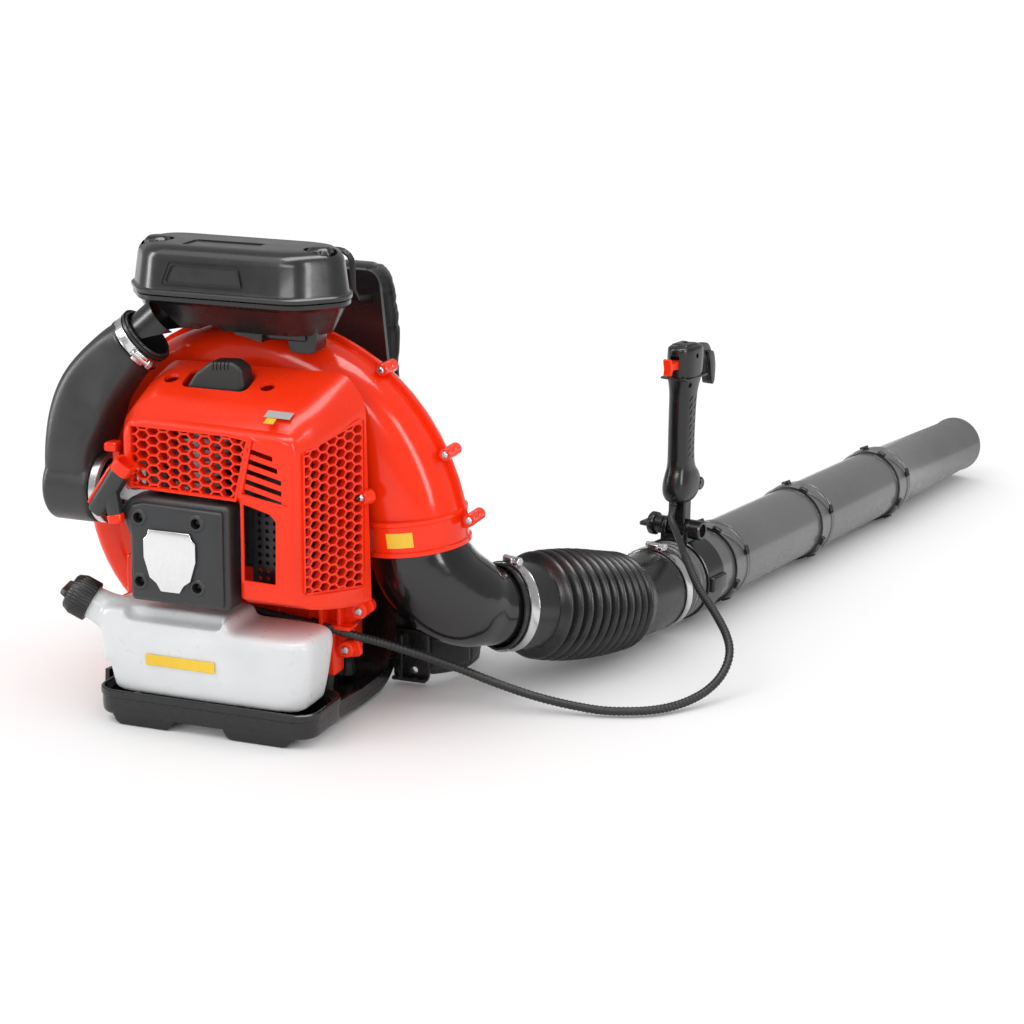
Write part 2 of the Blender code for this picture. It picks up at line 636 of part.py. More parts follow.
def build_tank():
    x0, x1 = BASE_X[0] + 2, BASE_X[1] - 4
    y0, y1 = BASE_Y[0] + 3, BASE_Y[1] - 1
    bottom = BASE_TOP + GAP
    neck_root, neck_end = Vector((-66, -134, 96)), Vector((-110, -145, 120))
    neck = (neck_end - neck_root).normalized()
    tank = prism("fuel_tank", rounded_rectangle((x0, y0), (x1, y1), 20.0), "Z", bottom, 106.0,
                 "tank_plastic", round_by=5)
    add(tank, box("tank_saddle", (-76, -160, 90), (58, -92, 118), round_by=5))
    add(tank, cylinder("neck", 15, neck_root, neck_end, sides=20))
    room = rounded_rectangle((x0 + WALL, y0 + WALL), (x1 - WALL, y1 - WALL), 17.0)
    cut(tank, prism("tank_room", room, "Z", bottom + WALL, 103.0))
    cut(tank, box("saddle_room", (-73, -157, 85), (55, -95, 115)))
    cut(tank, cylinder("neck_bore", 12, neck_root - neck * 4, neck_end + neck * 10, sides=20))
    cap = [(0, 26), (17, 26), (21, 20), (21, 0.5), (15.6, 0.5), (15.6, 12), (0, 12)]
    fuel_cap = turned("fuel_cap", cap, neck_end - neck * 11.4, neck, "black_plastic", 24)
    add(fuel_cap, box("cap_wing", (-17, -3.5, 20), (17, 3.5, 33), parent=fuel_cap))
    cut(tank, cylinder("line_hole", 3.2, (-70, -104, 110), (-70, -104, 125), sides=10))
    wire("fuel_line", [(-70, -104, 60), (-70, -104, 120), (-70, -100, 150), (-68, -95, 213.6)], 2.6, "rubber", 1)


def filter_outline(inset):
    half = [(84 - inset * 0.8, -100 + inset), (121 - inset, -50 + inset * 0.3), (121 - inset, 20 - inset)]
    return [(20 + x, y) for x, y in half] + [(20 - x, y) for x, y in reversed(half)]


def build_air_filter():
    floor, seam, top = 392.0, 420.0, 468.0

    def level(inset, z):
        return [Vector((x, y, z)) for x, y in filter_outline(inset)]

    case = hollow_loft("filter_case", [level(14, floor), level(2, seam - GAP)],
                       [level(17, floor + WALL), level(5, seam - GAP)], "black_plastic", closed_start=True)
    cover = hollow_loft("filter_cover", [level(18, top), level(7, top - 8), level(0, seam)],
                        [level(21, top - 3), level(10, top - 11), level(3, seam)], "black_plastic",
                        closed_start=True)
    for name, x in (("left", -68), ("right", 108)):
        post = cylinder(f"case_post_{name}", 8, (x, -50, floor + 1), (x, -50, seam - 3), sides=16)
        add(case, post)
        cut(case, cylinder(f"case_thread_{name}", 3.5, (x, -50, floor + 6), (x, -50, seam + 3), sides=12))
        add(cover, cylinder(f"cover_post_{name}", 18, (x, -50, 442), (x, -50, 460), sides=24))
        cut(cover, cylinder(f"knob_well_{name}", 16, (x, -50, 449), (x, -50, 480), sides=24))
        cut(cover, cylinder(f"knob_hole_{name}", 3.6, (x, -50, 430), (x, -50, 470), sides=12))
        profile = [(0, 471), (10, 471), (13.5, 466), (13.5, 449.5), (3, 449.5), (3, 402), (0, 402)]
        turned(f"cover_knob_{name}", profile, (x, -50, 0), (0, 0, 1), "black_plastic", 16)
    stub_run = Vector((17, 2, 15)).normalized()
    stub = Vector((-73, -82, 371))
    add(case, cylinder("stub", 23.3, stub, stub + stub_run * 38, sides=24))
    cut(case, cylinder("stub_bore", 21.0, stub - stub_run * 3, stub + stub_run * 44, sides=24))
    box("filter_element", (-46, -78, 404), (84, 2, 440), "paper", 3)


# ---------------------------------------------------------------- harness


def strap(name, path, low, high, thickness, finish="fabric"):
    """A flat strap: a ribbon in the (y, z) plane, between two x."""
    prism(name, ribbon(path, thickness), "X", low, high, finish)


def build_harness():
    pad_back = 34.0
    path = [(back_y(z) + 3.4 + pad_back / 2, z) for z in (128, 200, 280, 360)]
    prism("back_pad", ribbon(path, pad_back - 1), "X", -72, 92, "fabric", round_by=8)
    top_y = back_y(420) + 3.0
    loop = [(top_y + 2, 417), (top_y + 28, 424), (top_y + 62, 404), (top_y + 84, 350), (top_y + 86, 280),
            (top_y + 70, 210), (top_y + 46, 160)]
    web = [(130, 136), (102, 96), (79, 72)]
    path = loop + web
    strap("shoulder_strap_left", path, -76, -22, 11)
    strap("shoulder_strap_right", path, 42, 96, 11)
    for side, points in (("left", [(-152, 69), (-170, 84), (-182, 110), (-178, 150), (-150, 186)]),
                         ("right", [(172, 69), (190, 84), (202, 110), (198, 150), (170, 186)])):
        prism(f"hip_belt_{side}", ribbon(points, 9), "Z", 2, 52, "fabric")


# ---------------------------------------------------------------- blower tube


def build_elbow():
    dense = bezier(ELBOW_START, ELBOW_START + OUTLET_DIR * 62, ELBOW_END - HOSE_DIR * 62, ELBOW_END, 12)
    outside = (48.6, 47.8, 49.4, 51.2, 51.4, 51.0, 50.2, 49.0, 46.6, 40.3, 40.3, 40.3)
    side = (1, 0, 0)
    outer = [ring(p, d, r, r, 20, 2.0, side) for (p, d), r in zip(dense, outside)]
    inner = [ring(p, d, r - 2.6, r - 2.6, 20, 2.0, side) for (p, d), r in zip(dense, outside)]
    hollow_loft("outlet_elbow", outer, inner, "black_plastic")


def build_hose():
    knee = TUBE_START - TUBE_DIR * 20.0
    dense = bezier(HOSE_START, HOSE_START + HOSE_DIR * 90, knee - TUBE_DIR * 70, knee, 60)
    dense.append((TUBE_START + TUBE_DIR * 12.0, TUBE_DIR))
    length = sum((b[0] - a[0]).length for a, b in zip(dense, dense[1:]))
    stations = [(4.0, 44.8), (28.0, 45.2), (FIRST_RIDGE - 12.0, 53.0)]
    for i in range(RIDGES):
        ridge = 59.0 - 3.0 * i / (RIDGES - 1)
        here = FIRST_RIDGE + i * RIDGE_PITCH
        stations += [(here, ridge), (here + RIDGE_PITCH / 2, ridge - 9.0)]
    last = stations[-1][0]
    stations += [(last + 8.0, 45.6), (length - 56.0, 45.0), (length - 32.0, 44.8), (length, 44.8)]
    places = resample(dense, [s for s, _ in stations])
    side = (1, 0, 0)
    outer = [ring(p, d, r, r, 16, 2.0, side) for (p, d), (_, r) in zip(places, stations)]
    inner = [ring(p, d, r - 2.4, r - 2.4, 16, 2.0, side) for (p, d), (_, r) in zip(places, stations)]
    hollow_loft("flex_hose", outer, inner, "rubber")
    near = resample(dense, [15.0])[0]
    for name, (point, along) in (("elbow_clamp", near), ("hose_clamp", (TUBE_START, TUBE_DIR))):
        band = tube(name, 47.0, 46.0, -6, 6, point, along, "steel", 32)
        local = band.rotation_quaternion.inverted() @ Vector((0, 0, 1))
        seat = Vector((local.x, local.y, 0)).normalized() * 50.0
        screw_run = Vector((-seat.y, seat.x, 0)).normalized() * 11.0
        add(band, cylinder(f"{name}_screw", 4.5, seat - screw_run, seat + screw_run, sides=10, parent=band))


def build_tubes():
    """Tubes in a frame whose Z runs along the tube; Y points up and X to the left."""
    z = TUBE_DIR
    x = Vector((-z.y, z.x, 0)).normalized()
    y = z.cross(x)
    turn = Matrix((x, y, z)).transposed().to_4x4()
    axis = empty("tube_axis", TUBE_START, turn)
    male, bore = TUBE_R - 0.8, TUBE_R - 0.8 - TUBE_WALL
    socket = TUBE_R - 0.4
    j1, j2, j3 = JOINT_S
    up = (0, 0, 1)
    ridges = []
    for s in (40.0, 31.0, 22.0):
        ridges += [(TUBE_R, s + 3), (TUBE_R + 1.6, s + 1.5), (TUBE_R + 1.6, s - 1.5), (TUBE_R, s - 3)]

    def bell(end):
        return [(BELL_R, end), (BELL_R, end - INSERT), (TUBE_R, end - INSERT - 3)]

    def bell_bore(end):
        return [(TUBE_R - TUBE_WALL, end - INSERT - 1), (socket, end - INSERT - 1), (socket, end)]

    swivel = bell(j1) + ridges + [(TUBE_R, 16), (40.8, 15), (40.8, -28), (38.6, -28), (38.6, 15)] + bell_bore(j1)
    turned("swivel_tube", swivel, (0, 0, 0), up, "tube_plastic", 24, loop=True, parent=axis)
    for name, start, end in (("pipe_1", j1, j2), ("pipe_2", j2, j3)):
        profile = bell(end) + [(TUBE_R, start + 3), (BELL_R, start + 3), (BELL_R, start + 0.6),
                               (male, start + 0.6), (male, start - INSERT + 1), (bore, start - INSERT + 1),
                               (bore, start + 3)] + bell_bore(end)
        turned(name, profile, (0, 0, 0), up, "tube_plastic", 24, loop=True, parent=axis)
    tip = NOZZLE_END
    nozzle = [(38.2, tip), (38.2, tip - 4), (36.2, tip - 7), (41.6, j3 + 12), (TUBE_R, j3 + 4), (BELL_R, j3 + 3),
              (BELL_R, j3 + 0.6), (male, j3 + 0.6), (male, j3 - INSERT + 1), (bore, j3 - INSERT + 1),
              (39.6, j3 + 12), (34.4, tip - 7), (35.4, tip)]
    turned("nozzle", nozzle, (0, 0, 0), up, "tube_plastic", 24, loop=True, parent=axis)
    low, high = PIVOT_S - 12.0, PIVOT_S + 26.0
    bracket = tube("handle_bracket", 47.4, TUBE_R + 0.4, low, high, (0, 0, 0), up, "black_plastic", 24, parent=axis)
    for i, (near, far) in enumerate(((-17.0, -11.5), (11.5, 17.0))):
        add(bracket, box(f"ear_{i}", (near, 42, PIVOT_S - 9), (far, PIVOT_UP + 9, PIVOT_S + 9), round_by=2,
                         parent=axis))
    cut(bracket, cylinder("bracket_bore", TUBE_R + 0.4, (0, 0, low - 2), (0, 0, high + 2), sides=24, parent=axis))
    across = ((-30, PIVOT_UP, PIVOT_S), (30, PIVOT_UP, PIVOT_S))
    cut(bracket, cylinder("pivot_bore", 3.6, *across, sides=16, parent=axis))
    knob = [(0, 35), (15, 35), (16, 31), (16, 24), (10, 17.4), (3, 17.4), (3, -16), (0, -16)]
    turned("clamp_knob", knob, (0, PIVOT_UP, PIVOT_S), (1, 0, 0), "black_plastic", 16, parent=axis)


def build_handle():
    """Control handle, in a frame at its pivot: X right, Y along the tube, Z up."""
    left = Vector((-TUBE_DIR.y, TUBE_DIR.x, 0)).normalized()
    pivot = TUBE_START + TUBE_DIR * PIVOT_S + TUBE_DIR.cross(left) * PIVOT_UP
    turn = Matrix.Rotation(-math.atan2(TUBE_DIR.x, TUBE_DIR.y), 4, "Z")
    up = Vector((0, 0, 1))
    levels = ((30, 0, 9, 10), (38, 0, 14, 21), (52, 1, 14, 22), (72, 0, 12, 16), (100, -2, 12, 15),
              (150, -1, 12, 15), (172, 0, 14, 19), (188, 1, 14.5, 22), (206, 1, 14.5, 22), (214, 0, 11, 18))
    axis = empty("handle_axis", pivot, turn)

    def body(inset):
        return [ring(Vector((0, y, z)), up, half_x - inset, half_y - inset, 16, 2.6, (1, 0, 0))
                for z, y, half_x, half_y in levels]

    for side, low, high in (("left", -0.2, 60.0), ("right", -60.0, 0.2)):
        half = loft(f"handle_shell_{side}", body(0.0), "black_plastic", parent=axis)
        add(half, box(f"post_{side}", (-10.8, -8, 2), (10.8, 8, 34), parent=axis))
        add(half, cylinder(f"lug_{side}", 9, (-10.8, 0, 0), (10.8, 0, 0), sides=20, parent=axis))
        cut(half, box(f"other_half_{side}", (low, -60, -30), (high, 60, 240), parent=axis))
        hollow = [[Vector((p.x, p.y, z)) for p in points] for points, z in
                  zip(body(2.4)[1:-1], (41, 52, 72, 100, 150, 172, 188, 206))]
        cut(half, loft(f"handle_room_{side}", hollow, parent=axis))
        cut(half, cylinder(f"lug_bore_{side}", 3.5, (-20, 0, 0), (20, 0, 0), sides=16, parent=axis))
        cut(half, box(f"cable_entry_{side}", (-5.2, -20, 25), (5.2, -9, 46), parent=axis))
        cut(half, box(f"trigger_slot_{side}", (-5.5, 8, 148), (5.5, 40, 188), parent=axis))
        cut(half, box(f"switch_slot_{side}", (-5.5, -40, 186), (5.5, -15, 200), parent=axis))
        cut(half, box(f"lever_slot_{side}", (-3.2, -2, 198), (3.2, 40, 230), parent=axis))
    trigger = [(0, 0), (8, 1), (14, -10), (15, -28), (9, -33), (2, -30), (-3, -12), (-4, -3)]
    prism("throttle_trigger", trigger, "X", -4.8, 4.8, "black_plastic", 1, origin=(0, 13, 184), parent=axis)
    lever = [(-5, -4), (4, -5), (14, 2), (26, 3), (36, -6), (40, -20), (45, -18), (42, -1), (32, 9), (10, 11), (-4, 6)]
    prism("cruise_lever", lever, "X", -2.6, 2.6, "black_plastic", 1, origin=(0, 6, 207), parent=axis)
    rocker = [(-6, -5.5), (4, -5.5), (4, 5.5), (-6, 5.5), (-10, 0)]
    prism("stop_switch", rocker, "X", -4.8, 4.8, "red_plastic", 1, origin=(0, -19, 193), parent=axis)


def build_cable():
    knots = [(-56, -78.4, 208), (-50, -78.4, 170), (-44, -78.4, 132), (-30, -78.4, 116), (48, -78.4, 106), (90, -78.4, 101),
             (126, -78.4, 97), (148, -66, 88), (174, -36, 72), (225, 0, 46), (275, 14, 27), (315, 24, 15),
             (355, 32, 8), (385, 38, 6), (421, 55, 6), (444, 81, 7), (462, 110, 13), (472, 137, 24),
             (474, 158, 40), (464, 180, 54), (440, 214, 68), (416, 244, 80), (389, 288, 97), (362, 338, 112),
             (350, 356, 124), (350.5, 362, 138), (350.8, 361, 150)]
    points = [Vector(p) for p in knots]
    smooth = []
    for i in range(len(points) - 1):
        before, here = points[max(i - 1, 0)], points[i]
        after, beyond = points[i + 1], points[min(i + 2, len(points) - 1)]
        for share in (0.0, 0.5):
            t, t2, t3 = share, share ** 2, share ** 3
            smooth.append(0.5 * (2 * here + (after - before) * t
                                 + (2 * before - 5 * here + 4 * after - beyond) * t2
                                 + (3 * here - before - 3 * after + beyond) * t3))
    smooth.append(points[-1])
    wire("throttle_cable", smooth, 4.0, "rubber", 1)
    tube("cable_clip", 6.0, 4.9, -4, 4, (112, -78.4, 98.9), (1, 0, -0.11), "black_plastic", 16)


build_frame()
build_carry_handle()
build_mounts()
build_fan_housing()
build_impeller()
build_crank_train()
build_crankcase()
build_cylinder()
build_muffler()
build_intake()
build_starter()
build_engine_cover()
build_tank()
build_air_filter()
build_harness()
build_elbow()
build_hose()
build_tubes()
build_handle()
build_cable()
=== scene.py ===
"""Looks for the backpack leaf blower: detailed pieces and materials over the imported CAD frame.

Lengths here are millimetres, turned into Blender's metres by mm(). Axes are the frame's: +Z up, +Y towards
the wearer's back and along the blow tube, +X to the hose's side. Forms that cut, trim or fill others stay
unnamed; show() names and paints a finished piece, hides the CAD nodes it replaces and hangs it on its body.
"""
import json
from math import atan2, copysign, cos, degrees, exp, pi, radians, sin

import bmesh
import bpy
from mathutils import Matrix, Vector


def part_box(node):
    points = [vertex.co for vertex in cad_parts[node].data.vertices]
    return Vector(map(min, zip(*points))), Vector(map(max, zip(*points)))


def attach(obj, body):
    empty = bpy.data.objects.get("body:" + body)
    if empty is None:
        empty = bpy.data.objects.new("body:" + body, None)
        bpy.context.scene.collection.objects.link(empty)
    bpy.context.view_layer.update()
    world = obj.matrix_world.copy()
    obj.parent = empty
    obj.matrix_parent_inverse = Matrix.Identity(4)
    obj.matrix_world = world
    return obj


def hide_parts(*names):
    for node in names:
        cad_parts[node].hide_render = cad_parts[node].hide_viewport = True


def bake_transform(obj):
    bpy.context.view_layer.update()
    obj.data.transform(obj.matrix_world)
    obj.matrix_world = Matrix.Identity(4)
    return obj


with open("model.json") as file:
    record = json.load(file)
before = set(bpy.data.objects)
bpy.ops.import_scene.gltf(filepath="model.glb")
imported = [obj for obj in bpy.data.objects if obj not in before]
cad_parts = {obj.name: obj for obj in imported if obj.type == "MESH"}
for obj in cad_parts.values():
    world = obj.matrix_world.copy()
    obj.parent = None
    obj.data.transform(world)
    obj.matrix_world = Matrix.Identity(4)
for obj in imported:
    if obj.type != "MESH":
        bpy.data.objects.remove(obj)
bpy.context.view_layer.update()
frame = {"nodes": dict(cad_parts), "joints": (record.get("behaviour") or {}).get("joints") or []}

# ---------------------------------------------------------------- driving dimensions


def corners(node):
    """A CAD node's box at rest, in millimetres."""
    low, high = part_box(node)
    return Vector(low) * 1000, Vector(high) * 1000


def joint_point(name):
    """Where a joint of the frame is at rest."""
    return next(Vector(joint["pos_m"]) * 1000 for joint in frame["joints"] if joint["name"] == name)


UP, RIGHT, FORWARD = Vector((0, 0, 1)), Vector((1, 0, 0)), Vector((0, -1, 0))
CRANK_Z = sum(corners("impeller"), Vector()).z / 2
DRUM_R, DRUM_HALF = 125.0, 50.0
SCROLL_R0, SCROLL_K = 168.0, 0.0020
HOUSING_WALL = 3.0
OUTLET_R = 54.0
OUTLET_END = Vector((187.0, 0.0, 170.0))
OUTLET_DIR = Vector((0.12, 0.02, -0.99)).normalized()
ELBOW_START = Vector((184.5, 0.0, 186.0))
ELBOW_END = Vector((258.0, 82.0, 89.0))
HOSE_DIR = Vector((0.495, 0.858, -0.139)).normalized()
HOSE_START = Vector((248.0, 64.0, 92.0))
CUFF_R, CLAMP_R = 44.8, 46.2
RIDGES, RIDGE_PITCH, FIRST_RIDGE = 11, 13.4, 56.0
TUBE_R, BELL_R = 43.6, 46.0
TUBE_START = Vector((342.0, 320.0, 51.0))
TUBE_DIR = Vector((0.2113, 0.9774, -0.0073)).normalized()
JOINT_S = (147.0, 377.0, 613.0)
NOZZLE_END, INSERT = 886.0, 32.0
PIVOT_S, PIVOT_UP = 56.0, 58.5
FRAME_X = (-122.0, 142.0)
BASE_X, BASE_Y, BASE_TOP = (-88.0, 148.0), (-168.0, -84.0), 31.0
COVER_FACE, COVER_DEPTH = -156, 94
CYL_Y = -92.0
KNOB_X, KNOB_Y = {"left": -68, "right": 108}, -50
STUB, STUB_DIR = Vector((-73, -82, 371)), Vector((17, 2, 15)).normalized()


def mm(*values):
    point = values[0] if len(values) == 1 else values
    return Vector(point) * 0.001


shift = Matrix.Translation


def turn(angle, axis):
    """The turn by an angle in degrees."""
    return Matrix.Rotation(radians(angle), 4, axis)


def basis(x, y, z):
    """The turn whose axes are three given directions."""
    return Matrix((x, y, z)).transposed().to_4x4()


def turning(axis):
    """A turn that brings Z to an axis."""
    return Vector(axis).to_track_quat("Z", "Y").to_matrix().to_4x4()


# ---------------------------------------------------------------- materials


def node_tree(name):
    material = bpy.data.materials.new(name)
    material.use_nodes = True
    tree = material.node_tree
    return material, tree, tree.nodes["Principled BSDF"]


def add_node(tree, kind, inputs=None, **settings):
    node = tree.nodes.new(kind)
    for key, value in settings.items():
        setattr(node, key, value)
    for key, value in (inputs or {}).items():
        node.inputs[key].default_value = value
    return node


def noise(tree, scale, detail=3.0):
    """A noise texture in the object's own metres."""
    coords = add_node(tree, "ShaderNodeTexCoord")
    texture = add_node(tree, "ShaderNodeTexNoise", {"Scale": scale, "Detail": detail})
    tree.links.new(coords.outputs["Object"], texture.inputs["Vector"])
    return texture.outputs["Fac"]


def map_range(tree, value, from_low, from_high, low, high):
    limits = {"From Min": from_low, "From Max": from_high, "To Min": low, "To Max": high}
    node = add_node(tree, "ShaderNodeMapRange", limits)
    tree.links.new(value, node.inputs["Value"])
    return node.outputs["Result"]


def spread(tree, value, low, high):
    """Maps a 0.3 to 0.7 noise value to low to high."""
    return map_range(tree, value, 0.3, 0.7, low, high)


def tint(tree, value, dark, light):
    """A colour between dark, which may be another node's colour, and light."""
    node = add_node(tree, "ShaderNodeMix", data_type="RGBA")
    tree.links.new(value, node.inputs["Factor"])
    if isinstance(dark, bpy.types.NodeSocket):
        tree.links.new(dark, node.inputs["A"])
    else:
        node.inputs["A"].default_value = (*dark, 1.0)
    node.inputs["B"].default_value = (*light, 1.0)
    return node.outputs["Result"]


def bump(tree, height, strength, distance=0.0005, normal=None):
    node = add_node(tree, "ShaderNodeBump", {"Strength": strength, "Distance": distance})
    tree.links.new(height, node.inputs["Height"])
    if normal:
        tree.links.new(normal, node.inputs["Normal"])
    return node.outputs["Normal"]


def edge_wear_and_sheen(tree, colour, light, amount):
    """Lightens convex edges a little: partly wear where handling polishes them, partly a painted highlight
    along the edges.
    """
    shape = add_node(tree, "ShaderNodeNewGeometry")
    return tint(tree, map_range(tree, shape.outputs["Pointiness"], 0.52, 0.62, 0.0, amount), colour, light)


def set_up(tree, shader, sockets=None, **values):
    """Links sockets to, and sets values of, a shader's inputs, named with _ for a space."""
    for key, socket in (sockets or {}).items():
        tree.links.new(socket, shader.inputs[key])
    for key, value in values.items():
        shader.inputs[key.replace("_", " ")].default_value = value


def shades(colour, *factors):
    return [tuple(c * factor for c in colour) for factor in factors]


def plastic(name, colour, roughness, grain=0.05, grain_scale=1800.0, coat=0.0, wear_and_sheen=0.25, ior=1.5):
    """Moulded plastic: slight colour drift, fine grain, long flow ripples and lighter edges, partly wear and
    partly a painted edge highlight.
    """
    material, tree, shader = node_tree(name)
    drift = noise(tree, 9.0, 4.0)
    dark = tuple(c * 0.90 for c in colour)
    light = tuple(min(c * 1.08 + 0.001, 1.0) for c in colour)
    # lighter colour for convex edges: partly wear, partly a painted highlight along them
    worn_and_sheen = tuple(min(c * 1.5 + 0.03, 1.0) for c in colour)
    tone = tint(tree, spread(tree, drift, 0.0, 1.0), dark, light)
    colouring = edge_wear_and_sheen(tree, tone, worn_and_sheen, wear_and_sheen)
    smear = spread(tree, noise(tree, 60.0, 5.0), roughness * 0.86, roughness * 1.16)
    ripple = bump(tree, noise(tree, 26.0, 1.0), 0.05, 0.0008)
    fine = bump(tree, noise(tree, grain_scale, 2.0), grain, 0.00025, ripple)
    set_up(tree, shader, {"Base Color": colouring, "Roughness": smear, "Normal": fine},
           Coat_Weight=coat, Coat_Roughness=0.08, IOR=ior)
    return material


def metal(name, colour, roughness, stretch=(1.0, 1.0, 14.0), grain=0.12):
    """Brushed or cast metal: noise stretched along one axis drives roughness and bump."""
    material, tree, shader = node_tree(name)
    coords = add_node(tree, "ShaderNodeTexCoord")
    mapping = add_node(tree, "ShaderNodeMapping", {"Scale": stretch})
    texture = add_node(tree, "ShaderNodeTexNoise", {"Scale": 380.0, "Detail": 4.0})
    tree.links.new(coords.outputs["Object"], mapping.inputs["Vector"])
    tree.links.new(mapping.outputs["Vector"], texture.inputs["Vector"])
    value = texture.outputs["Fac"]
    sockets = {"Base Color": tint(tree, value, *shades(colour, 0.8, 1)),
               "Roughness": spread(tree, value, roughness * 0.7, roughness * 1.3),
               "Normal": bump(tree, value, grain, 0.0002)}
    set_up(tree, shader, sockets, Metallic=1.0)
    return material


def milky(name):
    """Blow-moulded polyethylene: milky, slightly see-through, with soft ripples."""
    material, tree, shader = node_tree(name)
    tone = tint(tree, spread(tree, noise(tree, 14.0, 3.0), 0.0, 1.0), (0.66, 0.68, 0.69), (0.75, 0.76, 0.77))
    smear = spread(tree, noise(tree, 90.0), 0.26, 0.36)
    ripple = bump(tree, noise(tree, 34.0, 1.0), 0.08, 0.001)
    fine = bump(tree, noise(tree, 1500.0), 0.05, 0.0002, ripple)
    set_up(tree, shader, {"Base Color": tone, "Roughness": smear, "Normal": fine}, Subsurface_Weight=0.35,
           Subsurface_Radius=(0.02, 0.02, 0.022), Subsurface_Scale=0.5)
    return material


def weave(name, colour, pitch=0.0011, strength=0.6):
    """Woven nylon: two crossed waves in the object's metres, with fuzz and a little sheen."""
    material, tree, shader = node_tree(name)
    coords = add_node(tree, "ShaderNodeTexCoord")
    both = add_node(tree, "ShaderNodeMath", operation="MULTIPLY")
    for i, direction in enumerate("XZ"):
        wave = add_node(tree, "ShaderNodeTexWave", {"Scale": 0.314 / pitch, "Distortion": 0.4, "Detail": 1.0},
                        wave_type="BANDS", bands_direction=direction)
        tree.links.new(coords.outputs["Object"], wave.inputs["Vector"])
        tree.links.new(wave.outputs["Fac"], both.inputs[i])
    value = both.outputs["Value"]
    tone = tint(tree, value, *shades(colour, 0.55, 1.5))
    fuzz = bump(tree, noise(tree, 500.0), 0.2, 0.0004)
    threads = bump(tree, value, strength, 0.0006, fuzz)
    set_up(tree, shader, {"Base Color": tone, "Normal": threads}, Roughness=0.85, Sheen_Weight=0.35)
    return material


def soft_rubber(name, colour, roughness):
    return plastic(name, colour, roughness, grain=0.12, grain_scale=900.0, wear_and_sheen=0.35)


RED = plastic("red_gloss", (0.93, 0.030, 0.003), 0.17, grain=0.012, coat=0.18, wear_and_sheen=0.04, ior=1.34)
RED_SATIN = plastic("red_satin", (0.93, 0.032, 0.004), 0.24, grain=0.03, coat=0.08, wear_and_sheen=0.04, ior=1.34)
BLACK_GLOSS = plastic("black_gloss", (0.006, 0.006, 0.0065), 0.16, grain=0.015, coat=0.35, wear_and_sheen=0.08)
BLACK = plastic("black_satin", (0.007, 0.007, 0.0075), 0.26, grain=0.05, coat=0.12, wear_and_sheen=0.10)
BLACK_GRAIN = plastic("black_grain", (0.009, 0.009, 0.0095), 0.38, grain=0.22, grain_scale=1200.0, wear_and_sheen=0.12)
TUBE_GREY = plastic("tube_grey", (0.125, 0.125, 0.127), 0.26, grain=0.006, coat=0.30, wear_and_sheen=0.03)
DUCT_GREY = plastic("duct_grain", (0.030, 0.030, 0.031), 0.36, grain=0.20, grain_scale=1200.0, wear_and_sheen=0.05)
LID_SATIN = plastic("lid_satin", (0.020, 0.020, 0.021), 0.25, grain=0.05, coat=0.12, wear_and_sheen=0.08)
LABEL_BLACK = plastic("label_black", (0.004, 0.004, 0.004), 0.50, grain=0.02, wear_and_sheen=0.0)
GREY = plastic("starter_grey", (0.024, 0.025, 0.027), 0.40, grain=0.18, grain_scale=1500.0)
HOSE_RUBBER = soft_rubber("hose_rubber", (0.018, 0.018, 0.0185), 0.26)
RUBBER = soft_rubber("rubber", (0.012, 0.012, 0.0125), 0.48)
MILKY = milky("tank_milky")
STEEL = metal("steel_band", (0.72, 0.72, 0.73), 0.22)
ZINC = metal("zinc_screw", (0.60, 0.60, 0.62), 0.30, (1, 1, 1))
DARK_STEEL = metal("dark_steel", (0.06, 0.06, 0.065), 0.42, (1, 1, 1), 0.2)
CAST = metal("cast_aluminium", (0.52, 0.52, 0.54), 0.45, (1, 1, 1), 0.5)
PLATE = metal("plate", (0.86, 0.86, 0.87), 0.20, (1, 6, 1), 0.03)
FABRIC = weave("harness_fabric", (0.022, 0.022, 0.025))
WEBBING = weave("harness_webbing", (0.030, 0.030, 0.033), 0.0022, 0.9)
PAPER = weave("filter_paper", (0.60, 0.52, 0.34), 0.004, 0.4)
CERAMIC = plastic("ceramic", (0.80, 0.80, 0.76), 0.2, grain=0.01, wear_and_sheen=0.0)
STICKER_GREY = plastic("sticker_grey", (0.45, 0.45, 0.44), 0.35, grain=0.02, wear_and_sheen=0.0)
STICKER_YELLOW = plastic("sticker_yellow", (0.85, 0.55, 0.03), 0.35, grain=0.02, wear_and_sheen=0.0)

# ---------------------------------------------------------------- mesh helpers


def link(name, data):
    obj = bpy.data.objects.new(name, data)
    bpy.context.scene.collection.objects.link(obj)
    return obj


def mesh_object(bm, name="form"):
    mesh = bpy.data.meshes.new(name)
    bm.to_mesh(mesh)
    bm.free()
    return link(name, mesh)


def from_bmesh(bm, sharp=32):
    bmesh.ops.recalc_face_normals(bm, faces=bm.faces)
    if bm.calc_volume(signed=True) < 0:
        bmesh.ops.reverse_faces(bm, faces=bm.faces)
    obj = mesh_object(bm)
    obj.data.shade_smooth()
    obj.data.set_sharp_from_angle(angle=radians(sharp))
    return obj


def bake(obj, sharp=32):
    """Applies an object's modifiers."""
    bpy.context.view_layer.update()
    graph = bpy.context.evaluated_depsgraph_get()
    mesh = bpy.data.meshes.new_from_object(obj.evaluated_get(graph))
    obj.modifiers.clear()
    obj.data = mesh
    mesh.shade_smooth()
    if sharp:
        mesh.set_sharp_from_angle(angle=radians(sharp))
    return obj


def modify(obj, kind, **settings):
    modifier = obj.modifiers.new(kind.lower(), kind)
    for key, value in settings.items():
        setattr(modifier, key, value)
    return modifier


def combine(obj, others, operation):
    """Joins, cuts or trims with other objects, which are used up."""
    for other in others:
        modify(obj, "BOOLEAN", operation=operation, object=other, solver="EXACT")
    bake(obj)
    for other in others:
        bpy.data.objects.remove(other, do_unlink=True)
    return obj


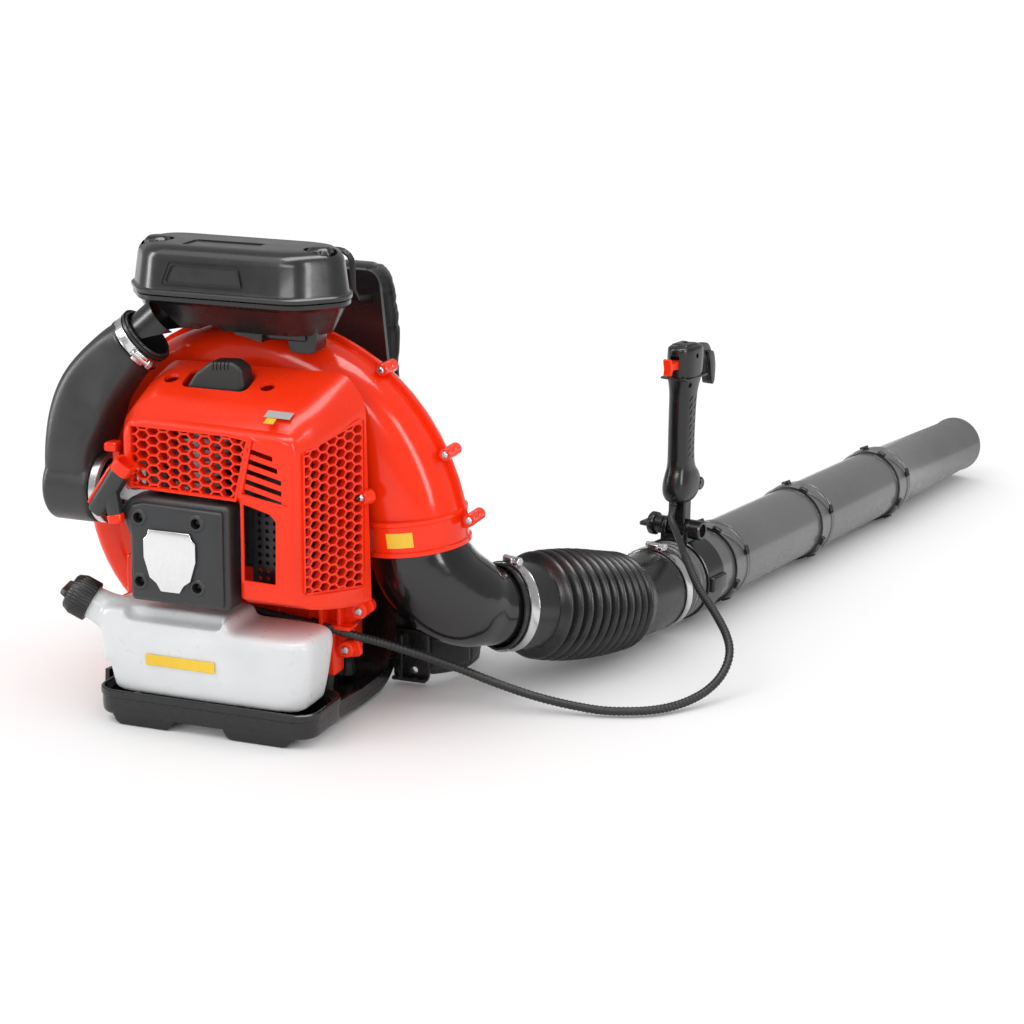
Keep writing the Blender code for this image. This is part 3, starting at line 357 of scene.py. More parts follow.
def join(obj, *others):
    return combine(obj, others, "UNION")


def cut(obj, *others):
    return combine(obj, others, "DIFFERENCE")


def keep_inside(obj, other):
    return combine(obj, (other,), "INTERSECT")


def bevel(obj, width, segments=3):
    modify(obj, "BEVEL", width=width * 0.001, segments=segments, limit_method="ANGLE",
           angle_limit=radians(32), harden_normals=False)
    return bake(obj)


def melt(obj, voxel, rounds, sharp=60):
    """Remeshes and smooths, which rounds every edge and corner like a blow moulding."""
    modify(obj, "REMESH", mode="VOXEL", voxel_size=voxel * 0.001)
    modify(obj, "SMOOTH", iterations=rounds, factor=0.5)
    return bake(obj, sharp)


def skin(bm, rings):
    rows = [[bm.verts.new(mm(point)) for point in ring] for ring in rings]
    for near, far in zip(rows, rows[1:]):
        for i in range(len(near)):
            j = (i + 1) % len(near)
            bm.faces.new((near[i], near[j], far[j], far[i]))
    return rows


def loft(rings):
    """A solid through a row of rings."""
    bm = bmesh.new()
    rows = skin(bm, rings)
    bm.faces.new(rows[0])
    bm.faces.new(rows[-1])
    return from_bmesh(bm)


def shell(outer, inner):
    """A wall between outer and inner rings."""
    bm = bmesh.new()
    walls = skin(bm, outer), skin(bm, inner)
    for end in (-1, 0):
        outside, inside = (wall[end] for wall in walls)
        for i in range(len(outside)):
            j = (i + 1) % len(outside)
            bm.faces.new((outside[i], outside[j], inside[j], inside[i]))
    return from_bmesh(bm)


def hoop(rings, sharp=32):
    """A solid through a closed row of rings, whose last one lies on the first."""
    bm = bmesh.new()
    rows = skin(bm, rings)
    for near, far in zip(rows[0], rows[-1]):
        bmesh.ops.pointmerge(bm, verts=[near, far], merge_co=near.co)
    return from_bmesh(bm, sharp)


def turned(profile, origin, axis, sides=48, loop=False, place=None):
    """A turned form from (radius, height) points; a loop makes a ring or tube."""
    place = shift(Vector(origin)) @ (place or turning(axis))
    rings = []
    for radius, height in profile:
        angles = [2 * pi * i / sides for i in range(sides)]
        rings.append([place @ Vector((radius * cos(angle), radius * sin(angle), height)) for angle in angles])
    return hoop(rings + [rings[0]]) if loop else loft(rings)


def cylinder(radius, start, end, sides=24, rounded=0.0):
    start, end = Vector(start), Vector(end)
    length = (end - start).length
    profile = [(radius, 0.0), (radius, length)]
    if rounded:
        inner = radius - rounded
        profile = [(inner, 0.0), (radius, rounded), (radius, length - rounded), (inner, length)]
    return turned(profile, start, end - start, sides)


def box(low, high, rounded=0.0, segments=3):
    low, high = Vector(low), Vector(high)
    bm = bmesh.new()
    bmesh.ops.create_cube(bm, size=1.0)
    bmesh.ops.scale(bm, vec=mm(high - low), verts=bm.verts)
    bmesh.ops.translate(bm, vec=mm((low + high) / 2), verts=bm.verts)
    obj = from_bmesh(bm)
    return bevel(obj, rounded, segments) if rounded else obj


def prism(outline, axis, low, high, rounded=0.0, segments=3):
    """A flat outline pushed along X, Y or Z. The outline's two numbers are the other two axes."""
    order = {"X": lambda u, v: (low, u, v), "Y": lambda u, v: (u, low, v), "Z": lambda u, v: (u, v, low)}
    push = {"X": (high - low, 0, 0), "Y": (0, high - low, 0), "Z": (0, 0, high - low)}
    bm = bmesh.new()
    face = bm.faces.new([bm.verts.new(mm(order[axis](u, v))) for u, v in outline])
    grown = bmesh.ops.extrude_face_region(bm, geom=[face])["geom"]
    moved = [item for item in grown if isinstance(item, bmesh.types.BMVert)]
    bmesh.ops.translate(bm, vec=mm(push[axis]), verts=moved)
    obj = from_bmesh(bm)
    return bevel(obj, rounded, segments) if rounded else obj


def many_prisms(outlines, axis, low, high):
    """Separate prisms in one cutting object."""
    bm = bmesh.new()
    for piece in [prism(outline, axis, low, high) for outline in outlines]:
        bm.from_mesh(piece.data)
        bpy.data.objects.remove(piece, do_unlink=True)
    return mesh_object(bm)


def transform(obj, matrix):
    """Moves a finished mesh by a matrix whose shift is in millimetres."""
    move = matrix.copy()
    move.translation = mm(matrix.translation)
    obj.data.transform(move)
    return obj


def arc(centre, radius, start, end, count):
    angles = [radians(start + (end - start) * i / (count - 1)) for i in range(count)]
    return [(centre[0] + radius * cos(a), centre[1] + radius * sin(a)) for a in angles]


def rounded_rectangle(low, high, radius, count=6):
    (x0, y0), (x1, y1) = low, high
    quarter = [((x1 - radius, y1 - radius), 0), ((x0 + radius, y1 - radius), 90),
               ((x0 + radius, y0 + radius), 180), ((x1 - radius, y0 + radius), 270)]
    return [point for centre, start in quarter for point in arc(centre, radius, start, start + 90, count)]


def rounded_outline(points, radii, count):
    """Rounds each corner of an outline with a short curve, the same number of points to a corner."""
    made = []
    for i, (point, radius) in enumerate(zip(points, radii)):
        here = Vector(point)
        before, after = Vector(points[i - 1]), Vector(points[(i + 1) % len(points)])
        start = here + (before - here).normalized() * min(radius, (before - here).length * 0.45)
        end = here + (after - here).normalized() * min(radius, (after - here).length * 0.45)
        for step in range(count + 1):
            t = step / count
            made.append(tuple(start * (1 - t) ** 2 + here * 2 * t * (1 - t) + end * t ** 2))
    return made


def mitre(outline, i):
    """The shift of an outline's corner that moves both edges beside it by one to their right."""
    before, here, after = (Vector(outline[k % len(outline)]) for k in (i - 1, i, i + 1))
    e1, e2 = (here - before).normalized(), (after - here).normalized()
    n1, n2 = Vector((e1.y, -e1.x)), Vector((e2.y, -e2.x))
    return (n1 + n2) / (1 + n1.dot(n2))


def ribbon(points, thickness):
    """Outline of a strip of even thickness along a flat row of points."""
    left, right = [], []
    for i, point in enumerate(points):
        before, after = Vector(points[max(i - 1, 0)]), Vector(points[min(i + 1, len(points) - 1)])
        run = (after - before).normalized()
        normal = Vector((-run.y, run.x)) * thickness / 2
        left.append(tuple(Vector(point) + normal))
        right.append(tuple(Vector(point) - normal))
    return left + right[::-1]


def ring(centre, direction, half_a, half_b, sides, power=2.0, side=(0, 1, 0)):
    """A rounded ring across a direction: a circle at power 2, squarer above it."""
    side = Vector(side)
    across = (side - direction * side.dot(direction)).normalized()
    upward = direction.cross(across)
    points = []
    for i in range(sides):
        angle = 2 * pi * i / sides
        c, s = cos(angle), sin(angle)
        a = copysign(abs(c) ** (2 / power), c) * half_a
        b = copysign(abs(s) ** (2 / power), s) * half_b
        points.append(Vector(centre) + across * a + upward * b)
    return points


def bar(start, along, keys, power, side, sides=28):
    """A straight bar of rounded rings; keys are (place along it, half width, half height)."""
    return loft([ring(start + along * s, along, a, b, sides, power, side) for s, a, b in keys])


def fluted(levels, sides, share, place):
    """A ribbed knob; levels are (height, radius, rib depth), and share is each side's share of the depth."""
    rings = []
    for height, radius, depth in levels:
        points = []
        for i in range(sides):
            angle = 2 * pi * i / sides
            r = radius - depth * share(i, angle)
            points.append(place @ Vector((r * cos(angle), r * sin(angle), height)))
        rings.append(points)
    return loft(rings)


def bezier(p0, p1, p2, p3, count):
    points = []
    for i in range(count):
        t = i / (count - 1)
        u = 1 - t
        point = u ** 3 * p0 + 3 * u * u * t * p1 + 3 * u * t * t * p2 + t ** 3 * p3
        tangent = u * u * (p1 - p0) + 2 * u * t * (p2 - p1) + t * t * (p3 - p2)
        points.append((point, tangent.normalized()))
    return points


def smooth_keys(keys, count):
    """Evenly spaced values on a smooth curve through rows of numbers."""
    made = []
    for step in range(count):
        place = step / (count - 1) * (len(keys) - 1)
        i = min(int(place), len(keys) - 2)
        t = place - i
        rows = [keys[max(i - 1, 0)], keys[i], keys[i + 1], keys[min(i + 2, len(keys) - 1)]]
        made.append([0.5 * (2 * b + (c - a) * t + (2 * a - 5 * b + 4 * c - d) * t ** 2
                            + (3 * b - a - 3 * c + d) * t ** 3) for a, b, c, d in zip(*rows)])
    return made


def smooth_path(knots, count):
    """Points and tangents on a smooth curve through the knots, evenly spaced."""
    points = [Vector(p) for p in knots]
    dense = []
    for i in range(len(points) - 1):
        before, here = points[max(i - 1, 0)], points[i]
        after, beyond = points[i + 1], points[min(i + 2, len(points) - 1)]
        for step in range(12):
            t = step / 12
            dense.append(0.5 * (2 * here + (after - before) * t
                                + (2 * before - 5 * here + 4 * after - beyond) * t ** 2
                                + (3 * here - before - 3 * after + beyond) * t ** 3))
    dense.append(points[-1])
    pairs = with_tangents(dense)
    total = path_length(pairs)
    return resample(pairs, [total * i / (count - 1) for i in range(count)])


def with_tangents(points):
    """Pairs each point with the direction of the path there."""
    ends = [points[0], *points, points[-1]]
    return [(here, (after - before).normalized()) for before, here, after in zip(ends, ends[1:], ends[2:])]


def path_length(pairs):
    return sum((b[0] - a[0]).length for a, b in zip(pairs, pairs[1:]))


def resample(points, distances):
    """Points and tangents at given distances along a dense row of points."""
    found = []
    walked, index = 0.0, 0
    for distance in distances:
        while index < len(points) - 2:
            step = (points[index + 1][0] - points[index][0]).length
            if walked + step >= distance:
                break
            walked += step
            index += 1
        here, ahead = points[index], points[index + 1]
        share = (distance - walked) / max((ahead[0] - here[0]).length, 1e-9)
        tangent = here[1].lerp(ahead[1], min(max(share, 0), 1)).normalized()
        found.append((here[0].lerp(ahead[0], share), tangent))
    return found


def rod(path, radius, sides=12, side=(0, 1, 0.1)):
    """A round rod along points and tangents; radius is a function of the index."""
    return loft([ring(p, d, radius(i), radius(i), sides, 2.0, side) for i, (p, d) in enumerate(path)])


def paint(obj, material):
    obj.data.materials.clear()
    obj.data.materials.append(material)


def dress(obj, name, material, nodes):
    """Names and paints a finished piece, which takes the place of CAD nodes."""
    obj.name = name
    paint(obj, material)
    if nodes:
        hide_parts(*nodes)


def show(obj, name, body, material, *nodes, slot=None):
    dress(obj, name, material, nodes)
    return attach(obj, body)


def show_bent(obj, name, material, node):
    """Names and paints a piece that runs from one body to another between two points, and bakes its placement
    into its mesh.
    """
    dress(obj, name, material, [node])
    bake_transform(obj)


def screw(name, head, axis, body="machine", radius=4.2, height=3.0, material=ZINC):
    """A domed screw head with a cross recess, standing on its seat."""
    profile = [(0.01, height), (radius * 0.6, height * 0.92), (radius * 0.92, height * 0.55), (radius, 0.0),
               (radius * 0.5, -2.0), (0.01, -2.0)]
    slots = []
    for i in range(2):
        slot = box((-radius * 0.62, -0.55, height - 1.2), (radius * 0.62, 0.55, height + 2))
        slots.append(transform(slot, shift(Vector(head)) @ turning(axis) @ turn(90 * i + 20, "Z")))
    show(cut(turned(profile, head, axis, 20), *slots), name, body, material, slot="steel")


def band_clamp(name, centre, axis, radius, width, body, node, screw_side):
    """A worm-drive hose clamp: band with a rolled edge, slots, housing and screw."""
    half = width / 2
    profile = [(radius, half), (radius + 0.9, half - 0.3), (radius + 0.6, half - 1.2),
               (radius + 0.6, -half + 1.2), (radius + 0.9, -half + 0.3), (radius, -half),
               (radius - 0.35, -half), (radius - 0.35, half)]
    axis = Vector(axis).normalized()
    side = Vector(screw_side)
    side = (side - axis * side.dot(axis)).normalized()
    run = axis.cross(side)
    seat = Vector(centre) + side * (radius + 3.6)
    place = shift(seat) @ basis(run, side, axis)
    band = turned(profile, centre, axis, 72, loop=True)
    join(band, transform(box((-7, -3.4, -half - 0.8), (7, 2.4, half + 0.8), 1.4), place))
    slots = []
    for i in range(11):
        angle = radians(-20 - 6.5 * i)
        at = Vector(centre) + (side * cos(angle) + run * sin(angle)) * radius
        out = (at - Vector(centre)).normalized()
        slot = box((-0.7, -2, -half * 0.45), (0.7, 3, half * 0.45))
        slots.append(transform(slot, shift(at) @ basis(axis.cross(out), out, axis)))
    show(cut(band, *slots), name, body, STEEL, node)
    worm = cylinder(3.1, seat - run * 10.5, seat + run * 12.5, 20, 0.5)
    head = turned([(4.4 * 0.9, 0), (4.4, 0.6), (4.4, 4.4), (4.4 * 0.9, 5.0)], seat + run * 9.0, run, 6)
    show(join(worm, head), f"{name}_screw", body, ZINC)


# ---------------------------------------------------------------- fan housing


def scroll_radius(angle):
    return SCROLL_R0 * exp(SCROLL_K * angle)


def scroll_direction(angle):
    heading = radians(180.0 - angle)
    return Vector((cos(heading), 0, sin(heading))), Vector((sin(heading), 0, -cos(heading)))


def scroll_rings(inset, count=54, sides=40):
    rings = []
    for i in range(count):
        angle = -150.0 + i * 323.0 / (count - 1)
        open_up = min(max(0.0, (angle - 110.0) / 70.0), 1.0)
        inner = 112.0 + 16.0 * open_up ** 2
        outer = scroll_radius(angle)
        centre_r, half = (inner + outer) / 2, (outer - inner) / 2 - inset
        radial, along = scroll_direction(angle)
        centre = Vector((0, 0, CRANK_Z)) + radial * centre_r
        depth = DRUM_HALF - 1.5 + 3.0 * open_up - inset
        rings.append(ring(centre, along, depth, half, sides, 2.9 - 0.7 * open_up))
    for share in (0.5, 1.0):
        centre = Vector((186.0, 0.0, 186.0)).lerp(OUTLET_END, share)
        rings.append(ring(centre, OUTLET_DIR, OUTLET_R - inset, OUTLET_R - inset, sides))
    return rings


def housing_solid(inset):
    rings = scroll_rings(inset)
    if inset:
        rings.append([point + OUTLET_DIR * 6.0 for point in rings[-1]])
    half = DRUM_HALF - inset
    return join(loft(rings), cylinder(DRUM_R - inset, (0, -half, CRANK_Z), (0, half, CRANK_Z), 96, 3.0))


def housing_flange(y0, y1):
    """The flat rim where the two halves of the housing meet."""
    rings = []
    for i in range(60):
        angle = -140.0 + i * 318.0 / 59
        radial, _ = scroll_direction(angle)
        base = Vector((0, 0, CRANK_Z)) + radial * scroll_radius(angle)
        rings.append([base + radial * r + Vector((0, y, 0))
                      for r, y in ((-4, y0), (5.0, y0), (5.0, y1), (-4, y1))])
    return loft(rings)


def build_housing():
    bosses = ((156, 347), (224, 268), (250, 204), (60, 384), (-70, 352), (-142, 282))
    legs = {"front": [((-112, -72, 44), (-78, -48, 100)), ((98, -72, 44), (130, -48, 100)),
                      ((-112, -56, 62), (-50, -48, 140)), ((60, -56, 62), (130, -48, 130))],
            "rear": [((-110, 10, 44), (-80, 34, 112)), ((86, 10, 44), (114, 34, 112))]}
    for side, low, high, sign, hub in (("front", -200.0, -0.2, -1, 14.0), ("rear", 0.2, 200.0, 1, 84.0)):
        half = housing_solid(0.0)
        extra = [box(a, b, 3.0) for a, b in legs[side]]
        extra.append(housing_flange(min(0.2 * sign, 2.6 * sign), max(0.2 * sign, 2.6 * sign)))
        extra += [cylinder(6.5, (x, 0.2 * sign, z), (x, 15 * sign, z), 24, 1.0) for x, z in bosses]
        join(half, *extra)
        cut(half, housing_solid(HOUSING_WALL))
        keep_inside(half, box((-400, low, -50), (400, high, 500)))
        cut(half, cylinder(hub, (0, 42 * sign, CRANK_Z), (0, 58 * sign, CRANK_Z), 64))
        show(half, f"housing_{side}", "machine", RED, f"fan_housing_{side}")
        for i, (x, z) in enumerate(bosses):
            screw(f"housing_screw_{side}_{i}", (x, 15 * sign, z), (0, sign, 0), radius=3.8)


# ---------------------------------------------------------------- elbow, hose, tubes


def build_outlet_band():
    """The stiffened rim round the housing's outlet, with a blank sticker."""
    profile = [(53.6, -36), (56.8, -35), (56.8, -31.5), (55.2, -30.5), (55.2, -5.5), (57.4, -4.5),
               (57.4, -0.6), (53.6, -0.6)]
    show(turned(profile, OUTLET_END, OUTLET_DIR, 96, loop=True), "outlet_band", "machine", RED)
    facing = turning(OUTLET_DIR).inverted() @ Vector((0.14, -0.99, 0))
    middle = degrees(atan2(facing.y, facing.x))
    outline = arc((0, 0), 55.8, middle - 14, middle + 14, 16)
    outline += arc((0, 0), 55.0, middle + 14, middle - 14, 16)
    sticker = transform(prism(outline, "Z", -25, -10), shift(OUTLET_END) @ turning(OUTLET_DIR))
    show(sticker, "outlet_sticker", "machine", STICKER_YELLOW)


def build_choke_lever():
    arm = rounded_outline([(-4, -4), (4, -4), (4, 22), (-4, 22)], (3.9, 3.9, 2, 2), 5)
    tab = rounded_outline([(-9, 14), (6, 14), (6, 24), (-9, 24)], (3, 3, 4.5, 4.5), 5)
    lever = join(prism(arm, "Y", -3, 3, 0.8), prism(tab, "Y", -12, 3, 2.4))
    show(transform(lever, shift((-84, -114.5, 252))), "choke_arm", "choke", RED, "choke_lever")


def hose_ring(place, radius):
    return ring(*place, radius, radius, 56, 2.0, RIGHT)


def build_elbow():
    dense = bezier(ELBOW_START, ELBOW_START + OUTLET_DIR * 62, ELBOW_END - HOSE_DIR * 62, ELBOW_END, 44)
    keys = (48.6, 47.8, 49.8, 51.2, 51.4, 51.0, 50.2, 49.0, 46.6, 42.0, 40.3, 40.3)

    def walls(inset):
        rings = []
        for i, (point, along) in enumerate(dense):
            place = i / 43 * 11
            k = min(int(place), 10)
            radius = keys[k] + (keys[k + 1] - keys[k]) * (place - k) - inset
            rings.append(hose_ring((point, along), radius))
        return rings

    show(shell(walls(0.0), walls(2.6)), "outlet_elbow_shell", "machine", BLACK_GLOSS, "outlet_elbow")


def hose_path():
    knee = TUBE_START - TUBE_DIR * 20.0
    dense = bezier(HOSE_START, HOSE_START + HOSE_DIR * 90, knee - TUBE_DIR * 70, knee, 120)
    dense.append((TUBE_START + TUBE_DIR * 12.0, TUBE_DIR))
    return dense


def hose_radius(s):
    """Outside radius of the hose at a distance along it: cuffs, and rounded ridges between."""
    cuff_end, ridge_depth = 26, 11.0
    first, last = FIRST_RIDGE - RIDGE_PITCH / 2, FIRST_RIDGE + (RIDGES - 0.5) * RIDGE_PITCH
    if s <= cuff_end:
        return CUFF_R
    if s < first:
        return CUFF_R + (46.5 - CUFF_R) * ((s - cuff_end) / (first - cuff_end)) ** 1.4
    if s <= last:
        phase = (s - FIRST_RIDGE) / RIDGE_PITCH
        place = phase / (RIDGES - 1)
        crest = 56.5 + 4.0 * sin(pi * min(max(place, 0.0), 1.0) ** 0.8) - 2.0 * place
        return crest - ridge_depth + ridge_depth * (0.5 + 0.5 * cos(2 * pi * phase)) ** 0.9
    return 47.6 + (CUFF_R - 47.6) * min((s - last) / 14, 1)


def build_hose():
    """Two lengths of hose that meet at the second bending point."""
    dense = hose_path()
    length, split, count = path_length(dense), (joint_point("hose_pitch") - HOSE_START).length, 230
    stations = [4.0 + (length - 4.0) * i / count for i in range(count + 1)]
    middle = min(range(count + 1), key=lambda i: abs(stations[i] - split))
    places = resample(dense, stations)
    for name, span, bodies, ends in (
            ("near", range(0, middle + 1), ("machine", "hose"), (24.0, split)),
            ("far", range(middle, count + 1), ("hose", "hose_end"), (split, length - 34.0))):
        outer, inner = ([hose_ring(places[i], hose_radius(stations[i]) - inset) for i in span]
                        for inset in (0.0, 2.4))
        half = shell(outer, inner)
        half.data.set_sharp_from_angle(angle=radians(75))
        start, end = (point for point, _ in resample(dense, ends))
        show_bent(half, f"flex_hose_{name}", HOSE_RUBBER, "flex_hose")
    point, along = resample(dense, [15.0])[0]
    band_clamp("elbow_band", point, along, CLAMP_R, 12, "machine", "elbow_clamp", UP)
    band_clamp("hose_band", TUBE_START, TUBE_DIR, CLAMP_R, 12, "hose_end", "hose_clamp", UP)


def tube_matrix():
    """Tube frame: Z along the tube, Y up, X to the left."""
    x = Vector((-TUBE_DIR.y, TUBE_DIR.x, 0)).normalized()
    return shift(TUBE_START) @ basis(x, TUBE_DIR.cross(x), TUBE_DIR)


def tube_turned(profile, loop=True):
    """A turned form on the tube's axis; heights are distances along the tube."""
    return turned(profile, (0, 0, 0), UP, 72, loop, tube_matrix())


def lugs(at, first_angle):
    """Bayonet lugs: four small rounded blocks round a socket."""
    radius, (width, length, height) = BELL_R - 1.2, (11, 6.4, 5.0)
    made = []
    for i in range(4):
        low, high = (radius - 2, -width / 2, at - length / 2), (radius + height, width / 2, at + length / 2)
        block = box(low, high, 1.4)
        made.append(transform(block, tube_matrix() @ turn(first_angle + 90 * i, "Z")))
    return made


def helical_ribs(end):
    """Slanting bayonet ribs round a socket, from one edge of its band to the other."""
    ribs, radius = [], BELL_R - 0.6
    for i in range(4):
        points = []
        for step in range(17):
            share = step / 16
            angle = radians(20 + 90 * i + 46 * share)
            along = end - INSERT + 3.6 + (INSERT - 8.2) * share
            points.append(tube_matrix() @ Vector((radius * cos(angle), radius * sin(angle), along)))
        ribs.append(rod(with_tangents(points), lambda step: 2.4))
    return ribs


def build_tubes():
    male, bore, socket = TUBE_R - 0.8, TUBE_R - 2.8, TUBE_R - 0.4
    j1, j2, j3 = JOINT_S

    def bell(end):
        """The outside of a tube's socket, from its open end back."""
        return [(BELL_R - 0.8, end), (BELL_R, end - 0.8), (BELL_R, end - 3.4), (BELL_R - 1.2, end - 4.0),
                (BELL_R - 1.2, end - INSERT + 5), (BELL_R, end - INSERT + 4.4), (BELL_R, end - INSERT + 0.8),
                (BELL_R - 0.8, end - INSERT), (TUBE_R, end - INSERT - 1.5)]

    def bell_bore(end):
        return [(TUBE_R - 2.0, end - INSERT - 1), (socket, end - INSERT - 1), (socket, end - 0.5),
                (socket + 0.5, end)]

    def plug(start):
        """A tube's collar and the end that goes into the socket before it."""
        return [(TUBE_R, start + 6), (BELL_R - 0.6, start + 5.2), (BELL_R, start + 4.6),
                (BELL_R, start + 1.2), (BELL_R - 0.5, start + 0.7), (male, start + 0.7),
                (male, start - INSERT + 1), (bore, start - INSERT + 1)]

    ridges = []
    for s in (40.0, 31.0, 22.0):
        ridges += [(TUBE_R, s + 2.6), (TUBE_R + 1.5, s + 1.4), (TUBE_R + 1.5, s - 1.4), (TUBE_R, s - 2.6)]
    spigot = [(TUBE_R, 16), (40.8, 15), (40.8, -28), (38.6, -28), (38.6, 15)]
    swivel = bell(j1) + ridges + spigot + bell_bore(j1)
    tip = NOZZLE_END
    nozzle = [(37.4, tip), (38.2, tip - 0.8), (38.2, tip - 3.4), (36.4, tip - 7), (41.6, j3 + 14)]
    nozzle += plug(j3) + [(39.6, j3 + 12), (34.6, tip - 7), (35.4, tip)]
    plan = [("swivel_tube", "tube", swivel, j1)]
    for name, body, start, end in (("pipe_1", "pipe_near", j1, j2), ("pipe_2", "pipe_far", j2, j3)):
        plan.append((name, body, bell(end) + plug(start) + [(bore, start + 3)] + bell_bore(end), end))
    for name, body, profile, end in plan + [("nozzle", "tip", nozzle, None)]:
        tube = tube_turned(profile)
        if end:
            join(tube, *helical_ribs(end))
            first, *rest = lugs(end - INSERT + 3.6, 20) + lugs(end - 4.6, 66)
            show(join(first, *rest), f"{name}_stop_0", body, BLACK, slot="tube_plastic")
            # a black ring over the step between tube and bell: painted shade standing in for the shadowed
            # groove there
            low, high = end - INSERT - 1.6, end - INSERT + 1.0
            inner, outer = BELL_R - 1.4, BELL_R + 0.6
            painted_shade_ring = [(inner, high), (outer, high - 0.5), (outer, low + 0.5), (inner, low)]
            show(tube_turned(painted_shade_ring), f"{name}_seal", body, BLACK, slot="tube_plastic")
        show(tube, f"{name}_shell", body, TUBE_GREY, name)


# ---------------------------------------------------------------- engine cover and starter

COVER_FRONT = [(-57, 238), (-57, 300), (-45, 312), (120, 308), (131, 298), (131, 139), (67, 139), (67, 238)]
COVER_BACK = [(-76, 226), (-76, 312), (-50, 350), (140, 352), (160, 326), (166, 122), (67, 122), (67, 226)]
SIDE_ALONG = Vector((35.0, 94.0, 0.0)).normalized()
SCREW_PLACES = ((-32, 216), (30, 216), (-32, 152), (30, 152))


def side_matrix():
    """Places (u, depth, z) on the cover's slanted right side: u from front to back, depth out of it."""
    out = Vector((SIDE_ALONG.y, -SIDE_ALONG.x, 0))
    return shift((131.0, COVER_FACE, 0.0)) @ basis(SIDE_ALONG, -out, UP)


def honeycomb(low, high, column, row, gap):
    """Outlines of squashed hexagons filling a rectangle, points to left and right."""
    half_height = row / 2 - gap / 2
    radius = column / 1.5 - gap * 0.58
    squash = half_height / (radius * 0.866)
    cells = []
    for i in range(int((high[0] - low[0]) / column)):
        for j in range(int((high[1] - low[1]) / row)):
            u = low[0] + column * (i + 0.6)
            v = low[1] + row * (j + 0.5 + 0.5 * (i % 2)) - row * 0.25
            if v + half_height < high[1] and v - half_height > low[1]:
                cells.append([(u + radius * cos(radians(60 * k)), v + radius * squash * sin(radians(60 * k)))
                              for k in range(6)])
    return cells


def cover_ring(share, y, inset):
    """The cover's rounded outline at a depth, between its front (0) and its back (1)."""
    outline = [tuple(Vector(p).lerp(Vector(q), share)) for p, q in zip(COVER_FRONT, COVER_BACK)]
    flat = []
    for i, (x, z) in enumerate(outline):
        move = mitre(outline, i) * inset
        flat.append((x + move.x, z + move.y))
    return [Vector((x, y, z)) for x, z in rounded_outline(flat, (4, 9, 13, 13, 13, 7, 5, 7), 6)]


def cover_rings(shares, inset, bulge):
    """Rings behind the cover's front edge, moved in and bulging out between front and back."""
    return [cover_ring(share, COVER_FACE + COVER_DEPTH * share, inset - bulge * sin(pi * share))
            for share in shares]


def rail(outline, half, y):
    """A raised rounded rim that follows a flat outline on the front face."""
    rings = []
    for i in range(len(outline) + 1):
        x, z = outline[i % len(outline)]
        points = []
        for k in range(8):
            angle = 2 * pi * k / 8
            move = mitre(outline, i) * half * cos(angle)
            points.append(Vector((x + move.x, y + half * 0.8 * sin(angle), z + move.y)))
        rings.append(points)
    return hoop(rings, 60)


